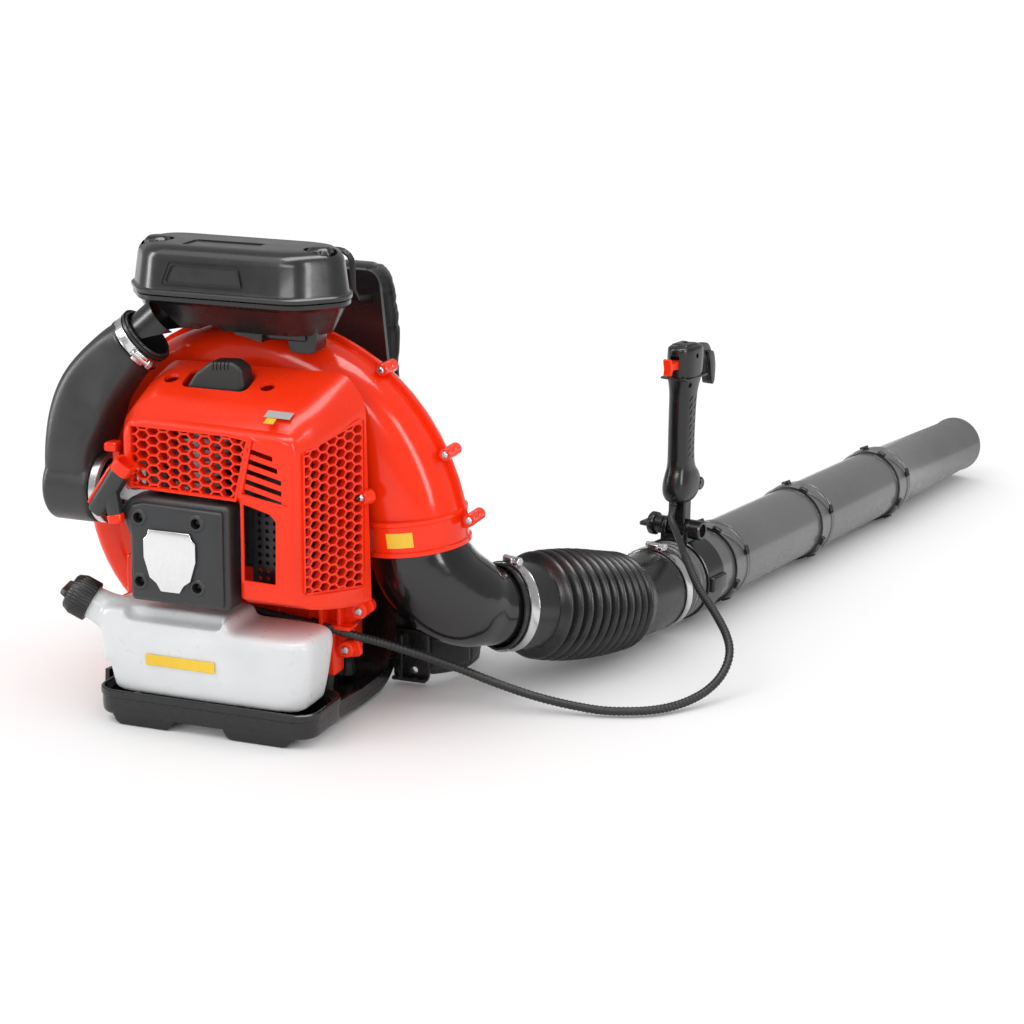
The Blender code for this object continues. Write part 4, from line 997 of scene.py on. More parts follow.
def build_engine_cover():
    shares = (0.2, 0.4, 0.6, 0.8, 1.0)
    front_edge = ((-156.8, 9.0), (-156.2, 6.0), (-154.4, 3.4), (-151.6, 1.4), (-147.0, 0.2))
    cover = loft([cover_ring(0, y, inset) for y, inset in front_edge] + cover_rings(shares, 0.0, 3.4))
    room = [cover_ring(0, -153.4, 6.5), cover_ring(0, -150, 3.6)] + cover_rings((*shares, 1.06), 3.0, 3.0)
    cut(cover, loft(room))
    grille = [(-46, 243), (66, 240), (80, 300), (60, 303), (-46, 304)]
    grille_field = [(-44.4, 244.6), (64.8, 241.6), (78, 298.6), (59.6, 301.4), (-44.4, 302.4)]
    louvre_panel = [(72, 246), (121, 238), (118, 276), (106, 292), (84, 302)]
    window = [(73, 160), (109, 159), (110, 224), (103, 231), (73, 239)]
    side_panel = rounded_outline([(9, 150), (90, 141), (90, 312), (9, 291)], (6, 6, 6, 6), 4)
    side_field = [(11, 152), (88, 143.4), (88, 309), (11, 289)]
    on_side = side_matrix()
    join(cover, prism(grille, "Y", -155.4, -147), transform(prism(side_panel, "Y", -0.6, 6.0), on_side))
    cut(cover, prism(grille, "Y", -170, -155.0), prism(louvre_panel, "Y", -170, -155.0),
        transform(prism(side_panel, "Y", -16, 0.6), on_side))
    cells = many_prisms(honeycomb((-62, 234), (92, 314), 11.2, 9.7, 1.9), "Y", -175, -140)
    keep_inside(cells, prism(grille_field, "Y", -180, -130))
    side_cells = many_prisms(honeycomb((-6, 136), (104, 330), 11.6, 9.9, 2.1), "Y", -20, 20)
    keep_inside(side_cells, prism(side_field, "Y", -25, 25))
    louvres = []
    for i in range(5):
        left, right, top = 79.6 - 1.2 * i, min(105 + 5 * i, 114), 292 - 10 * i
        fall = 0.24 * (right - left)
        louvres.append([(left, top), (right, top - fall), (right, top - fall - 5), (left, top - 5)])
    cut(cover, cells, many_prisms(louvres, "Y", -175, -140), transform(side_cells, on_side),
        prism(window, "Y", -175, -140))
    engine, muffler, carburettor = (((-53, -151, 215), (68, -40, 243)), ((60, -151, 141), (72, -40, 243)),
                                    ((-100, -126, 196), (-38, -40, 282)))
    cut(cover, *(box(low, high) for low, high in (engine, muffler, carburettor)))
    cut(cover, box((-17, CYL_Y - 16, 318), (54, CYL_Y + 16, 380), 8, 5),
        cylinder(7.5, (-36, -100, 300), (-26, -92, 380), 32),
        cylinder(7.5, (76, -92, 300), (68, -100, 380), 32))
    join(cover, rail(grille, 1.6, -156.2), rail(louvre_panel, 1.4, -156.2), rail(window, 1.8, -156.0))
    show(cover, "engine_cover_shell", "machine", RED_SATIN, "engine_cover")
    show(cylinder(7.5, (160, -74, 232), (166, -62, 232), 24, 1.0), "cover_boss", "machine", RED_SATIN)
    screw("cover_screw", (160, -74, 232), (-0.45, -0.9, 0), radius=4.0)
    across, rise = Vector((1, 0, -0.02)).normalized(), Vector((0, 0.927, 0.375))
    place = shift((90, -141.2, 320.6)) @ basis(across, across.cross(rise) * -1, rise)
    for name, material, u0, u1, v0, v1 in (("label_grey", STICKER_GREY, 0, 27, 0, 11),
                                           ("label_yellow", STICKER_YELLOW, 4, 14, -10, -1)):
        patch = box((u0, -0.25, v0), (u1, 0.25, v1), 0.2, 1)
        show(transform(patch, place), name, "machine", material)


def build_plug_cap():
    outline = [(-8, 326), (42, 326), (51, 337), (48, 356), (38, 362), (15, 361), (-2, 348), (-11, 335)]
    boot = melt(prism(outline, "Y", CYL_Y - 12.5, CYL_Y + 12.5, 3), 1.5, 6)
    cut(boot, *(box((34 - 4 * i, CYL_Y - 20, 354 - 0.4 * i), (35 - 4 * i, CYL_Y + 20, 362))
                for i in range(5)))
    show(boot, "boot", "machine", RUBBER, "plug_cap")


def build_starter():
    outline = [(-46, 130), (62, 130), (62, 234), (-30, 236), (-44, 234), (-57, 220), (-46, 196)]
    face = [(-41, 134), (57, 134), (57, 229), (-28, 231), (-40, 228), (-45, 219), (-41, 196)]
    room = [(-42, 134), (58, 134), (58, 230), (-30, 232), (-42, 230)]
    housing = prism(outline, "Y", -164, -134, 5, 4)
    collars = [cylinder(8.6, (x, -170, z), (x, -150, z), 32, 1.2) for x, z in SCREW_PLACES]
    join(housing, prism(face, "Y", -168.6, -150, 2.6), *collars)
    wells = [cylinder(5.2, (x, -180, z), (x, -160, z), 28) for x, z in SCREW_PLACES]
    cut(housing, prism(room, "Y", -160, -120), cylinder(4, (-72, -146, 224.6), (-36, -146, 214)), *wells)
    show(housing, "starter_cover", "machine", GREY, "starter_housing")
    for i, (x, z) in enumerate(SCREW_PLACES):
        screw(f"starter_screw_{i}", (x, -162, z), (0, -1, 0), radius=4.0, material=DARK_STEEL)
    shield = [(-20, 206), (24, 206), (26, 200), (30, 196), (30, 178), (24, 158), (17, 153), (12, 145),
              (-8, 145), (-13, 153), (-20, 158), (-26, 178), (-26, 196), (-22, 200)]
    show(prism(shield, "Y", -172.2, -169.6, 0.8), "starter_shield", "machine", PLATE, "starter_badge")


def build_grip():
    along = Vector((0.56, 0, 0.83)).normalized()
    down = Vector((0.20, 0, -0.98)).normalized()
    square = Vector((-along.z, 0, along.x))
    centre = Vector((-61, -168, 243))
    root = centre + Vector((0, -3, 0))
    upper_keys = ((-31, 7.0, 7.0), (-28, 8.6, 9.0), (-16, 9.6, 9.8), (0, 9.4, 9.6), (16, 9.8, 9.8),
                  (22, 9.8, 9.8))
    grip = bar(centre, along, upper_keys, 3.2, FORWARD)
    lower_keys = ((2, 6.0, 8.0), (14, 6.0, 7.6), (27, 5.8, 7.0))
    join(grip, cylinder(6.5, (-62, -168, 242), (-62, -163, 231.5), 28, 1.0),
         bar(root, down, lower_keys, 3.0, FORWARD))
    cut(grip, cylinder(2.5, (-62, -150, 224), (-62, -163, 234.3), 20))
    show(grip, "grip_bar", "grip", GREY, "starter_grip")
    mouth_keys = ((20, 9.9, 10.0), (22, 10.8, 10.8), (31, 11.2, 11.0), (32, 10.4, 10.4))
    mouth = bar(centre, along, mouth_keys, 3.2, FORWARD)
    cut(mouth, bar(centre, along, ((25, 8.2, 8.0), (36, 8.2, 8.0)), 3.2, FORWARD))
    edge_keys = ((-27, 5.0, 2.6), (-22, 7.6, 2.6), (0, 8.0, 2.6), (20, 8.0, 2.6))
    foot_keys = ((26, 6.4, 7.6), (27, 6.8, 8.0), (33, 6.6, 7.6), (34.5, 5.4, 6.4))
    show(mouth, "grip_mouth", "grip", RED_SATIN)
    show(bar(centre + square * 9.6, along, edge_keys, 2.4, FORWARD, 20), "grip_edge", "grip", RED_SATIN)
    show(bar(root, down, foot_keys, 3.0, FORWARD), "grip_foot", "grip", RED_SATIN)
    rope = smooth_path([(-40, -146, 215.2), (-58, -146, 220.5), (-62, -151, 224.5), (-62, -158, 230)], 24)
    show_bent(rod(rope, lambda i: 1.75 + 0.12 * sin(i * 2.1)), "rope_braid",
              RUBBER, "starter_rope")


# ---------------------------------------------------------------- tank, filter, duct


def build_tank():
    middle_x, middle_y = 29.0, -125.0
    levels = ((31.8, 0, 98, 30), (33.4, 0, 104, 36.5), (60, 0, 109, 39.0), (90, -1, 114, 40.4),
              (101, -1, 114, 40.4), (106, -1, 108, 34))
    tank = loft([ring(Vector((middle_x + dx, middle_y, z)), UP, half_x, half_y, 96, 6.0, RIGHT)
                 for z, dx, half_x, half_y in levels])
    saddle = box((-78, -162, 88), (56, -90, 118.5), 6)
    cut(saddle, prism([(-56, -170), (50, -170), (50, -146), (-56, -146)], "Z", 108, 140))
    root, end = Vector((-66, -134, 96)), Vector((-110, -145, 120))
    run = (end - root).normalized()
    neck = turned([(27, -6), (24, 8), (18.5, 24), (16, (end - root).length)], root, run)
    join(tank, saddle, box((-84, -162, 60), (-60, -98, 118.0), 7), neck)
    melt(tank, 2.0, 34)
    cut(tank, cylinder(12, end - run * 30, end + run * 10, 40))
    show(tank, "tank_body", "machine", MILKY, "fuel_tank")
    show(box((-30, -166.4, 66), (45, -165.3, 77), 0.3, 1), "tank_label", "machine", STICKER_YELLOW)
    place = shift(end - run * 11.4) @ turning(run)
    cap_levels = ((0.6, 20.0, 0.2), (1.6, 21.0, 0.9), (17.0, 21.0, 0.9), (19.5, 20.0, 0.2), (24.5, 18.0, 0.0),
                  (26.0, 16.0, 0.0))
    cap = fluted(cap_levels, 144, lambda i, angle: 1 if i % 4 < 2 else 0, place)
    wing = [(-17.5, 18), (17.5, 18), (17.5, 27), (14, 32.5), (-14, 32.5), (-17.5, 27)]
    join(cap, transform(prism(wing, "Y", -3.4, 3.4, 1.6), place))
    cut(cap, turned([(15.6, -4), (15.6, 12)], end - run * 11.4, run))
    show(cap, "fuel_cap_body", "cap", BLACK_GRAIN, "fuel_cap")


def filter_rings(*levels):
    """The air filter's rounded outline seen from above; levels are (how far it is moved in, height)."""
    outline = [(-64, -100), (104, -100), (139, -56), (133, -26), (104, 14), (-72, 18), (-101, -4),
               (-101, -50)]
    rings = []
    for inset, z in levels:
        flat = [tuple(Vector(point) - mitre(outline, i) * inset) for i, point in enumerate(outline)]
        flat = rounded_outline(flat, (16, 18, 16, 14, 20, 16, 14, 16), 7)
        rings.append([Vector((x, y, z)) for x, y in flat])
    return rings


def build_filter():
    floor, seam, top = 392.0, 420.0, 468.0
    lid = loft(filter_rings(
        (1.2, seam + 0.3), (0.2, seam + 1), (0, seam + 2.4), (0, seam + 4.4), (0.8, seam + 5.4),
        (2.6, seam + 6.4), (3.4, seam + 8), (7.0, top - 13), (8.6, top - 8), (11.5, top - 4), (16, top - 1.2),
        (22, top)))
    cut(lid, loft(filter_rings((25, top - 4), (12, top - 12), (6.5, seam + 8), (4, seam + 4), (4, seam - 3))))
    tilt = shift((5, -95.4, 442)) @ turn(-7, "X")
    plate = rounded_outline([(-46, -12), (44, -12), (38, 12), (-38, 12)], (4, 4, 4, 4), 4)
    cut(lid, transform(prism(plate, "Y", -12, 1.8), tilt),
        prism(rounded_rectangle((-30, -74), (46, -40), 4), "Z", top - 1.2, top + 5))
    border = rounded_outline([(-43, -9.5), (41, -9.5), (36, 9.5), (-36, 9.5)], (3, 3, 3, 3), 4)
    inside = [(x * 0.96, z * 0.86) for x, z in border]
    border_line = cut(prism(border, "Y", -0.4, 3.0), prism(inside, "Y", -3, 3))
    join(lid, transform(border_line, tilt))
    show(transform(prism(inside, "Y", 1.0, 2.6), tilt), "nameplate", "filter_lid", LABEL_BLACK)
    for x in KNOB_X.values():
        join(lid, cylinder(19, (x, KNOB_Y, 440), (x, KNOB_Y, 461), 48, 2))
        cut(lid, cylinder(16.5, (x, KNOB_Y, 449), (x, KNOB_Y, 480), 48),
            cylinder(3.6, (x, KNOB_Y, 430), (x, KNOB_Y, 470)))
    lid.data.set_sharp_from_angle(angle=radians(24))
    show(lid, "filter_lid_shell", "filter_lid", LID_SATIN, "filter_cover")
    case = loft(filter_rings(
        (22, floor - 6), (19, floor - 5), (15, floor + 2), (7, seam - 9), (5, seam - 6.6), (2.4, seam - 5.6),
        (1.6, seam - 4.8), (1.6, seam - 0.8)))
    cut(case, loft(filter_rings((20, floor), (17, floor + 3), (8.5, seam - 7), (5, seam + 3))))
    legs = []
    for x0, x1, y0 in ((-58, -24, -74), (26, 60, -78), (76, 112, -66)):
        outline = rounded_outline([(x0, floor + 6), (x1, floor + 6), (x1 - 4, 368), (x0 + 6, 368)],
                                  (2, 2, 5, 5), 4)
        legs.append(prism(outline, "Y", y0, -40, 2.5))
    join(case, *legs, box((-50, -70, 380), (100, -50, floor + 2), 2))
    cut(case, cylinder(11, (-40, -90, 366), (-40, -30, 366), 32),
        cylinder(20, (4, -90, 372), (4, -30, 372), 48))
    join(case, cylinder(23.3, STUB, STUB + STUB_DIR * 38, 48))
    cut(case, cylinder(21, STUB - STUB_DIR * 3, STUB + STUB_DIR * 44, 48))
    housing_top = scroll_radius(70) + 9
    cut(case, cylinder(housing_top, (0, -120, CRANK_Z), (0, 60, CRANK_Z), 128))
    show(case, "filter_base_shell", "machine", BLACK, "filter_case")
    knob_levels = ((449.8, 12.6, 0), (451, 13.5, 1.3), (464, 13.5, 1.3), (467, 12.8, 0.6), (470, 10, 0),
                   (471, 8, 0))
    for side, x in KNOB_X.items():
        knob = fluted(knob_levels, 64, lambda i, angle: 0.5 + 0.5 * cos(8 * angle), shift((x, KNOB_Y, 0)))
        join(knob, cylinder(3.0, (x, KNOB_Y, 402), (x, KNOB_Y, 452), 20))
        show(knob, f"lid_knob_{side}", f"knob_{side}", BLACK, f"cover_knob_{side}")


def build_duct():
    """A round body on the carburettor's axis, and a limb that turns from square to round on its way up."""
    path = [(-131, -104, 224, 26.4, 33), (-131, -104, 262, 26.6, 33), (-125, -100, 294, 31, 32),
            (-115, -94, 324, 31.5, 30.5), (-93, -85, 354, 29.2, 29), (-73, -82, 371, 28, 28),
            (-64.5, -81, 378.6, 28, 28)]
    keys = smooth_keys(path, 30)
    runs = with_tangents([Vector(key[:3]) for key in keys])

    def limb(inset):
        rings = [ring(point, run, key[4] - inset, key[3] - inset, 48, max(2.2, 7.0 - 4.8 * i / 24))
                 for i, ((point, run), key) in enumerate(zip(runs, keys))]
        if inset:
            rings.append([point + runs[-1][1] * 4.0 for point in rings[-1]])
        return loft(rings)

    y, z = -105, 225
    duct = join(cylinder(37, (-157, y, z), (-104, y, z), 72, 4), limb(0.0))
    melt(duct, 1.8, 3)
    cut(duct, limb(2.4), cylinder(34.6, (-154.6, y, z), (-90, y, z), 72))
    join(duct, cylinder(31, (-157.6, y, z), (-154, y, z), 72, 0.8))
    show(duct, "duct_body", "machine", DUCT_GREY, "intake_duct")
    band_clamp("duct_band", STUB, STUB_DIR, 29.2, 10, "machine", "duct_clamp", (0.3, -1, -0.6))
    for i, along in enumerate((-8.0, 8.0)):
        profile = [(28.2, 1.6), (30.4, 1.2), (30.4, -1.2), (28.2, -1.6)]
        lip = turned(profile, STUB + STUB_DIR * along, STUB_DIR, 64, loop=True)
        show(lip, f"duct_lip_{i}", "machine", BLACK_GRAIN)
    profile = [(35.8, 9.4), (36.5, 8.6), (36.5, 1.4), (35.8, 0.5), (31, 0.5), (30, 1.4), (30, 8.6), (31, 9.4)]
    silver = turned(profile, (-104, y, z), RIGHT, 72, loop=True)
    show(silver, "duct_silver_ring", "machine", STEEL, "duct_ring")


# ---------------------------------------------------------------- handle and cable


def handle_matrix():
    """Handle frame at its pivot: X right, Y along the tube, Z up."""
    pivot = tube_matrix() @ Vector((0, PIVOT_UP, PIVOT_S))
    return shift(pivot) @ Matrix.Rotation(-atan2(TUBE_DIR.x, TUBE_DIR.y), 4, "Z")


def build_handle():
    place = handle_matrix()
    levels = ((30, 0, 9, 12), (34, 0, 13.5, 20), (42, 1, 16.5, 25.5), (52, 2.5, 17, 27),
              (62, 2.5, 15.6, 24.5), (72, 0, 13.6, 18.5), (86, -1, 13, 16.8), (110, -1.5, 13, 16.6),
              (138, -1, 13.2, 17), (156, 0, 13.6, 18), (168, 1, 14.8, 21), (176, 1, 16, 23.4),
              (190, 2, 16.2, 25), (203, 2, 16, 25), (208, 1, 15, 23), (210, 0, 12, 18))
    rings = [ring(Vector((0, y, z)), UP, hx, hy, 56, 2.6, RIGHT) for z, y, hx, hy in smooth_keys(levels, 60)]
    for side, sign, low, high in (("left", -1, -0.2, 60.0), ("right", 1, -60.0, 0.2)):
        half = loft(rings)
        post, collar = box((-10.6, -8, 1), (10.6, 8, 34), 2), box((-16.8, -24, 173.2), (16.8, 25, 176.0), 1.2)
        pivot, base = (cylinder(9, (-10.8, 0, 0), (10.8, 0, 0), 40, 0.8),
                       cylinder(7.5, (-14.5, 24, 48), (14.5, 24, 48), 32, 1.5))
        join(half, post, pivot, collar, box((-10, -14, 204), (10, 12, 212), 2.0), base)
        cut(half, box((low, -60, -30), (high, 60, 240)))
        trigger, switch = ((-5.5, 8, 148), (5.5, 40, 188)), ((-5.5, -40, 186), (5.5, -15, 200))
        lever, cable = ((-3.2, -2, 198), (3.2, 40, 230)), ((-5.2, -20, 25), (5.2, -9, 46))
        slots = [box(*ends) for ends in (trigger, switch, lever, cable)]
        slots.append(cylinder(3.5, (-20, 0, 0), (20, 0, 0)))
        facing = turn(180, "Z") if sign < 0 else Matrix.Identity(4)
        for i in range(9):
            for y in (-7.0, 6.0):
                spot = facing @ shift((0, y * sign, 86 + 8 * i)) @ turn(38, "X")
                slots.append(transform(box((12.2, -5.6, -1.0), (18, 5.6, 1.0), 0.5, 1), spot))
        slots += [cylinder(2.8, (12 * sign, y, z), (22 * sign, y, z), 20)
                  for y, z in ((0, 199), (19, 50), (-10, 167))]
        cut(half, *slots)
        show(transform(half, place), f"grip_half_{side}", "handle", BLACK, f"handle_shell_{side}")
    build_controls(place)
    build_bracket(place)


def build_controls(place):
    trigger = [(0, 0), (8, 1), (14, -10), (15, -28), (9, -33), (2, -30), (-3, -12), (-4, -3)]
    hook = rounded_outline([(-5, -5), (5, -5), (16, -2), (33, -3), (41, -10), (44, -22), (48, -40), (52, -43),
                            (56, -38), (57, -20), (53, -4), (44, 7), (25, 9), (-4, 5)],
                           (2, 2, 4, 6, 5, 4, 3, 3, 4, 6, 8, 8, 6, 3), 3)
    pad = rounded_outline([(38, -2), (43, -12), (45, -24), (48.5, -40), (52, -43), (56, -38), (57, -20),
                           (52, -3)],
                          (4, 4, 4, 3, 3, 4, 5, 5), 3)
    rocker = [(4, -5.5), (4, 5.5), (-6, 4.0), (-14, 4.0), (-16.5, 9.5), (-20, 9), (-19, 3), (-17.4, -3),
              (-18.6, -9), (-15, -9.5), (-13, -4.0), (-6, -4.0)]
    lever = join(prism(hook, "X", -2.8, 2.8, 1.4), prism(pad, "X", -6.4, 6.4, 2.6))
    blade = prism(trigger, "X", -4.6, 4.6, 1.6)
    switch = prism(rocker, "X", -4.8, 4.8, 1.0)
    for obj, y, z, name, body, material, node in (
            (blade, 13, 184, "trigger_blade", "trigger", BLACK, "throttle_trigger"),
            (lever, 7, 198, "cruise_blade", "cruise", BLACK, "cruise_lever"),
            (switch, -21.5, 190, "stop_rocker", "stop", RED_SATIN, "stop_switch")):
        show(transform(obj, place @ shift((0, y, z))), name, body, material, node)


def build_bracket(place):
    bore, low, high = TUBE_R + 0.4, PIVOT_S - 12.0, PIVOT_S + 26.0
    profile = [(46.6, high), (47.4, high - 1), (47.4, low + 1), (46.6, low), (bore, low), (bore, high)]
    band = tube_turned(profile)
    ear = [(-13, -14), (13, -14), (11, 0)] + arc((0, 0), 11, 0, 180, 15) + [(-11, 0)]
    ears = [transform(prism(ear, "X", near, far, 1.0), place) for near, far in ((-17.0, -11.5), (11.5, 17.0))]
    hub = transform(cylinder(11, (15.0, 0, 0), (30.0, 0, 0), 40, 1.2), place)
    lobes = [transform(box((x - 5, -9, low + 3), (x + 5, 9, high - 3), 2.5), tube_matrix())
             for x in (-47, 47)]
    join(band, *ears, hub, *lobes)
    cut(band, transform(cylinder(3.6, (-40, 0, 0), (40, 0, 0)), place),
        tube_turned([(bore, low - 3), (bore, high + 3)], loop=False),
        transform(cylinder(7.4, (26.5, 0, 0), (40, 0, 0), 40), place))
    show(band, "bracket_band", "tube", BLACK, "handle_bracket")
    levels = ((17.4, 9, 0), (18.4, 10.4, 0), (27, 10.4, 0), (28, 13.0, 0.4), (29.5, 13.6, 1.0),
              (33.5, 13.6, 1.0), (35.5, 12.4, 0.4), (36.5, 9, 0))
    outward = basis((0, 1, 0), (0, 0, 1), (-1, 0, 0))
    knob = fluted(levels, 60, lambda i, angle: 0.5 + 0.5 * cos(10 * angle), outward)
    join(knob, cylinder(3.0, (-20, 0, 0), (16, 0, 0), 20), box((-46, -11, -2.6), (-33, 11, 2.6), 2.2))
    show(transform(knob, place), "pivot_knob", "tilt_knob", BLACK, "clamp_knob")


CABLE_KNOTS = (
    (-56, -78.4, 208), (-50, -78.4, 170), (-44, -78.4, 132), (-30, -78.4, 116), (48, -78.4, 106),
    (90, -78.4, 101), (126, -78.4, 97), (148, -66, 88), (174, -36, 72), (225, 0, 46), (275, 14, 27),
    (315, 24, 15), (355, 32, 8), (385, 38, 6), (421, 55, 6), (444, 81, 7), (462, 110, 13), (472, 137, 24),
    (474, 158, 40), (464, 180, 54), (440, 214, 68), (416, 244, 80), (389, 288, 97), (362, 338, 112),
    (350, 356, 124), (350.5, 362, 138), (350.8, 361, 150))
# for each length: its two bodies, the share of the cable where it ends, and its stiff share at each end
CABLE_LENGTHS = ((("machine", "hose"), 0.63, 0.45, 0.1), (("hose", "hose_end"), 0.80, 0.1, 0.1),
                 (("hose_end", "tube"), 0.90, 0.1, 0.1), (("tube", "handle"), 1.0, 0.5, 0.0))


def sheath_radius(share, step):
    """Outside radius of the cable's sheath, which is ribbed except near its ends."""
    if 0.20 < share < 0.90:
        return 4.7 - 0.7 * (0.5 + 0.5 * cos(2 * pi * step / 4.0))
    return 3.9


def build_cable():
    """The ribbed sheath, in four lengths along its path past the bodies."""
    last = 899
    path = smooth_path(CABLE_KNOTS, last + 1)
    first = 0
    for index, (bodies, share, lead, tail) in enumerate(CABLE_LENGTHS):
        span = path[first:int(share * last) + 1]
        piece = rod(span, lambda i: sheath_radius((first + i) / last, first + i), 14, (0.1, 0.2, 1))
        piece.data.set_sharp_from_angle(angle=radians(80))
        show_bent(piece, f"throttle_sheath_{index}", RUBBER, "throttle_cable")
        first = int(share * last)
    profile = [(6.4, 4), (6.4, -4), (5.0, -4), (5.0, 4)]
    clip = turned(profile, (112, -78.4, 98.9), (1, 0, -0.11), 40, loop=True)
    show(clip, "cable_saddle", "machine", BLACK, "cable_clip")


# ---------------------------------------------------------------- frame


def side_profile():
    """Side view (y, z) of the frame: deck, curved heel, leaning back."""
    heel = arc((10.0, 66.0), 60.0, -90.0, 0.0, 24)
    return [(-88.0, 11.0), (-30.0, 6.0)] + heel + [(76.0, 150.0), (99.0, 425.0)]


def back_y(z):
    """Front face of the leaning back, at a height."""
    return 76.0 + (z - 150.0) * (99.0 - 76.0) / 275.0


def build_frame():
    x0, x1 = FRAME_X
    plate = prism(ribbon(side_profile(), 6.0), "X", x0, x1)
    shape = rounded_outline([(x0 - 1, -1), (x1 + 1, -1), (x1 + 1, 120), (x1 - 8, 230), (105, 426), (-85, 426),
                             (x0 + 8, 230), (x0 - 1, 120)], (1, 1, 20, 30, 18, 18, 30, 20), 6)
    keep_inside(plate, prism(shape, "Y", -100, 130))
    wing = prism(ribbon(side_profile(), 4.0), "X", x1 - 2, x1 + 36)
    wing_shape = rounded_outline([(x1 - 4, 30), (x1 + 36, 30), (x1 + 36, 95), (x1 + 22, 155), (x1 - 4, 205)],
                                 (1, 6, 16, 20, 1), 6)
    keep_inside(wing, prism(wing_shape, "Y", 40, 130))
    inward = [(-88.0, 17.0), (-30.0, 12.0)] + arc((10.0, 66.0), 54.0, -90.0, 0.0, 24) + [(70.0, 150.0)]
    ribs = [prism(ribbon(inward, 16.0), "X", edge + 0.2, edge + 4.8) for edge in (x0, x1 - 5.0)]
    ribs += [box((x - 2.5, back_y(260) - 8, 200), (x + 2.5, back_y(220), 262), 1.0) for x in (-98, 118)]
    tabs = ((x0 - 37, x0 + 3, x0 - 9, x0 - 21), (x1 - 3, x1 + 37, x1 + 9, x1 + 21))
    for low, high, rib_x, _ in tabs:
        ribs += [prism(rounded_rectangle((low, 3), (high, 58), 7.0), "Y", 56, 61, 1.2),
                 prism(rounded_rectangle((low + 1, 4), (high - 1, 8), 1.5), "Y", 48, 60, 1.0),
                 box((rib_x - 2, 46, 5), (rib_x + 2, 58, 54), 1.0)]
    join(plate, wing, *ribs)
    for *_, hole_x in tabs:
        cut(plate, cylinder(3.5, (hole_x, 44, 15), (hole_x, 70, 15)))
    cut(plate, cylinder(78, (0, 40, CRANK_Z), (0, 120, CRANK_Z), 96))
    for i, z in enumerate((290, 330, 370, 402)):
        y = back_y(z) + 3
        cut(plate, box((-58 + i * 2, y + 1.2, z - 3), (78 - i * 2, y + 8, z + 3), 1.0))
    join(plate, build_tray(), box((-42, -22, 0), (62, 18, 5), 1.5))
    show(plate, "frame_plate", "machine", BLACK, "frame")
    for i, (x, z) in enumerate(((-104, 120), (124, 120), (-78, 408), (98, 408))):
        screw(f"frame_screw_{i}", (x, back_y(z) + 6, z), (0, 1, 0), radius=4.6, height=2.6)


def build_tray():
    """The base tray with its feet; levels are (height, how far the outline is moved in)."""
    levels = ((9, 4), (10, 1.5), (12, 0.4), (16, 0), (27, 0), (28.2, -1.2), (31, -1.4), (34.4, -1.0),
              (35.2, 0.2), (35.2, 2.0), (31, 3.0), (28, 5.0))
    rings = []
    for z, inset in levels:
        outline = rounded_rectangle((BASE_X[0] + inset, BASE_Y[0] + inset),
                                    (BASE_X[1] - inset, BASE_Y[1] - inset), 22.0 - min(inset, 3), 8)
        rings.append([Vector((x, y, z)) for x, y in outline])
    room = rounded_rectangle((BASE_X[0] + 3, BASE_Y[0] + 3), (BASE_X[1] - 3, -92.0), 19.0)
    tray = cut(loft(rings), prism(room, "Z", 4, BASE_TOP - 3.0))
    feet = []
    for low, high in ((-70.0, 0.0), (51.0, 128.0)):
        outline = rounded_outline([(low, 12), (low + 7, 0.2), (high - 7, 0.2), (high, 12)], (2, 5, 5, 2), 4)
        feet += [prism(outline, "Y", -166.5, -89, 2.0), box((low + 10, -160, 0), (high - 10, -95, 1), 0.3)]
    return join(tray, *feet)


def build_lower_lugs():
    """Red webs and screw bosses under the engine cover."""
    outline = rounded_outline([(96, 132), (164, 128), (170, 116), (150, 104), (134, 92), (152, 84), (156, 66),
                               (122, 60), (100, 78)], (2, 6, 5, 6, 6, 6, 6, 4, 4), 4)
    bosses = ((158, 117), (143, 75))
    ribs = (((118, -84, 62), (122, -58, 134)), ((134, -76, 90), (138, -58, 130)),
            ((104, -80, 96), (150, -60, 100)), ((100, -84, 126), (160, -58, 130)))
    web = prism(outline, "Y", -64, -58, 1.2)
    join(web, *(cylinder(8.2, (x, -76, z), (x, -50, z), 32, 1.2) for x, z in bosses),
         *(box(low, high, 1) for low, high in ribs))
    show(web, "lower_web", "machine", RED)
    for i, (x, z) in enumerate(bosses):
        screw(f"lower_screw_{i}", (x, -76, z), (0, -1, 0))


def build_muffler():
    low, high = corners("muffler")
    middle_y = (low.y + high.y) / 2
    seam = rounded_rectangle((low.x - 1.5, low.z - 1.5), (high.x + 0.8, high.z + 1.5), 6)
    body = join(box(low, high, 5, 4), prism(seam, "Y", middle_y - 1, middle_y + 1, 0.5))
    show(body, "muffler_body", "machine", DARK_STEEL, "muffler")
    guard = box((72, low.y - 3.2, 150), (min(high.x, 127), low.y - 1.6, 240), 0.5)
    holes = [[(x + 2.3 * cos(radians(45 * k)), z + 2.3 * sin(radians(45 * k))) for k in range(8)]
             for x in range(80, 121, 8) for z in range(158, 236, 8)]
    cut(guard, many_prisms(holes, "Y", low.y - 6, low.y + 0.5))
    show(guard, "muffler_guard", "machine", DARK_STEEL)


# ---------------------------------------------------------------- harness


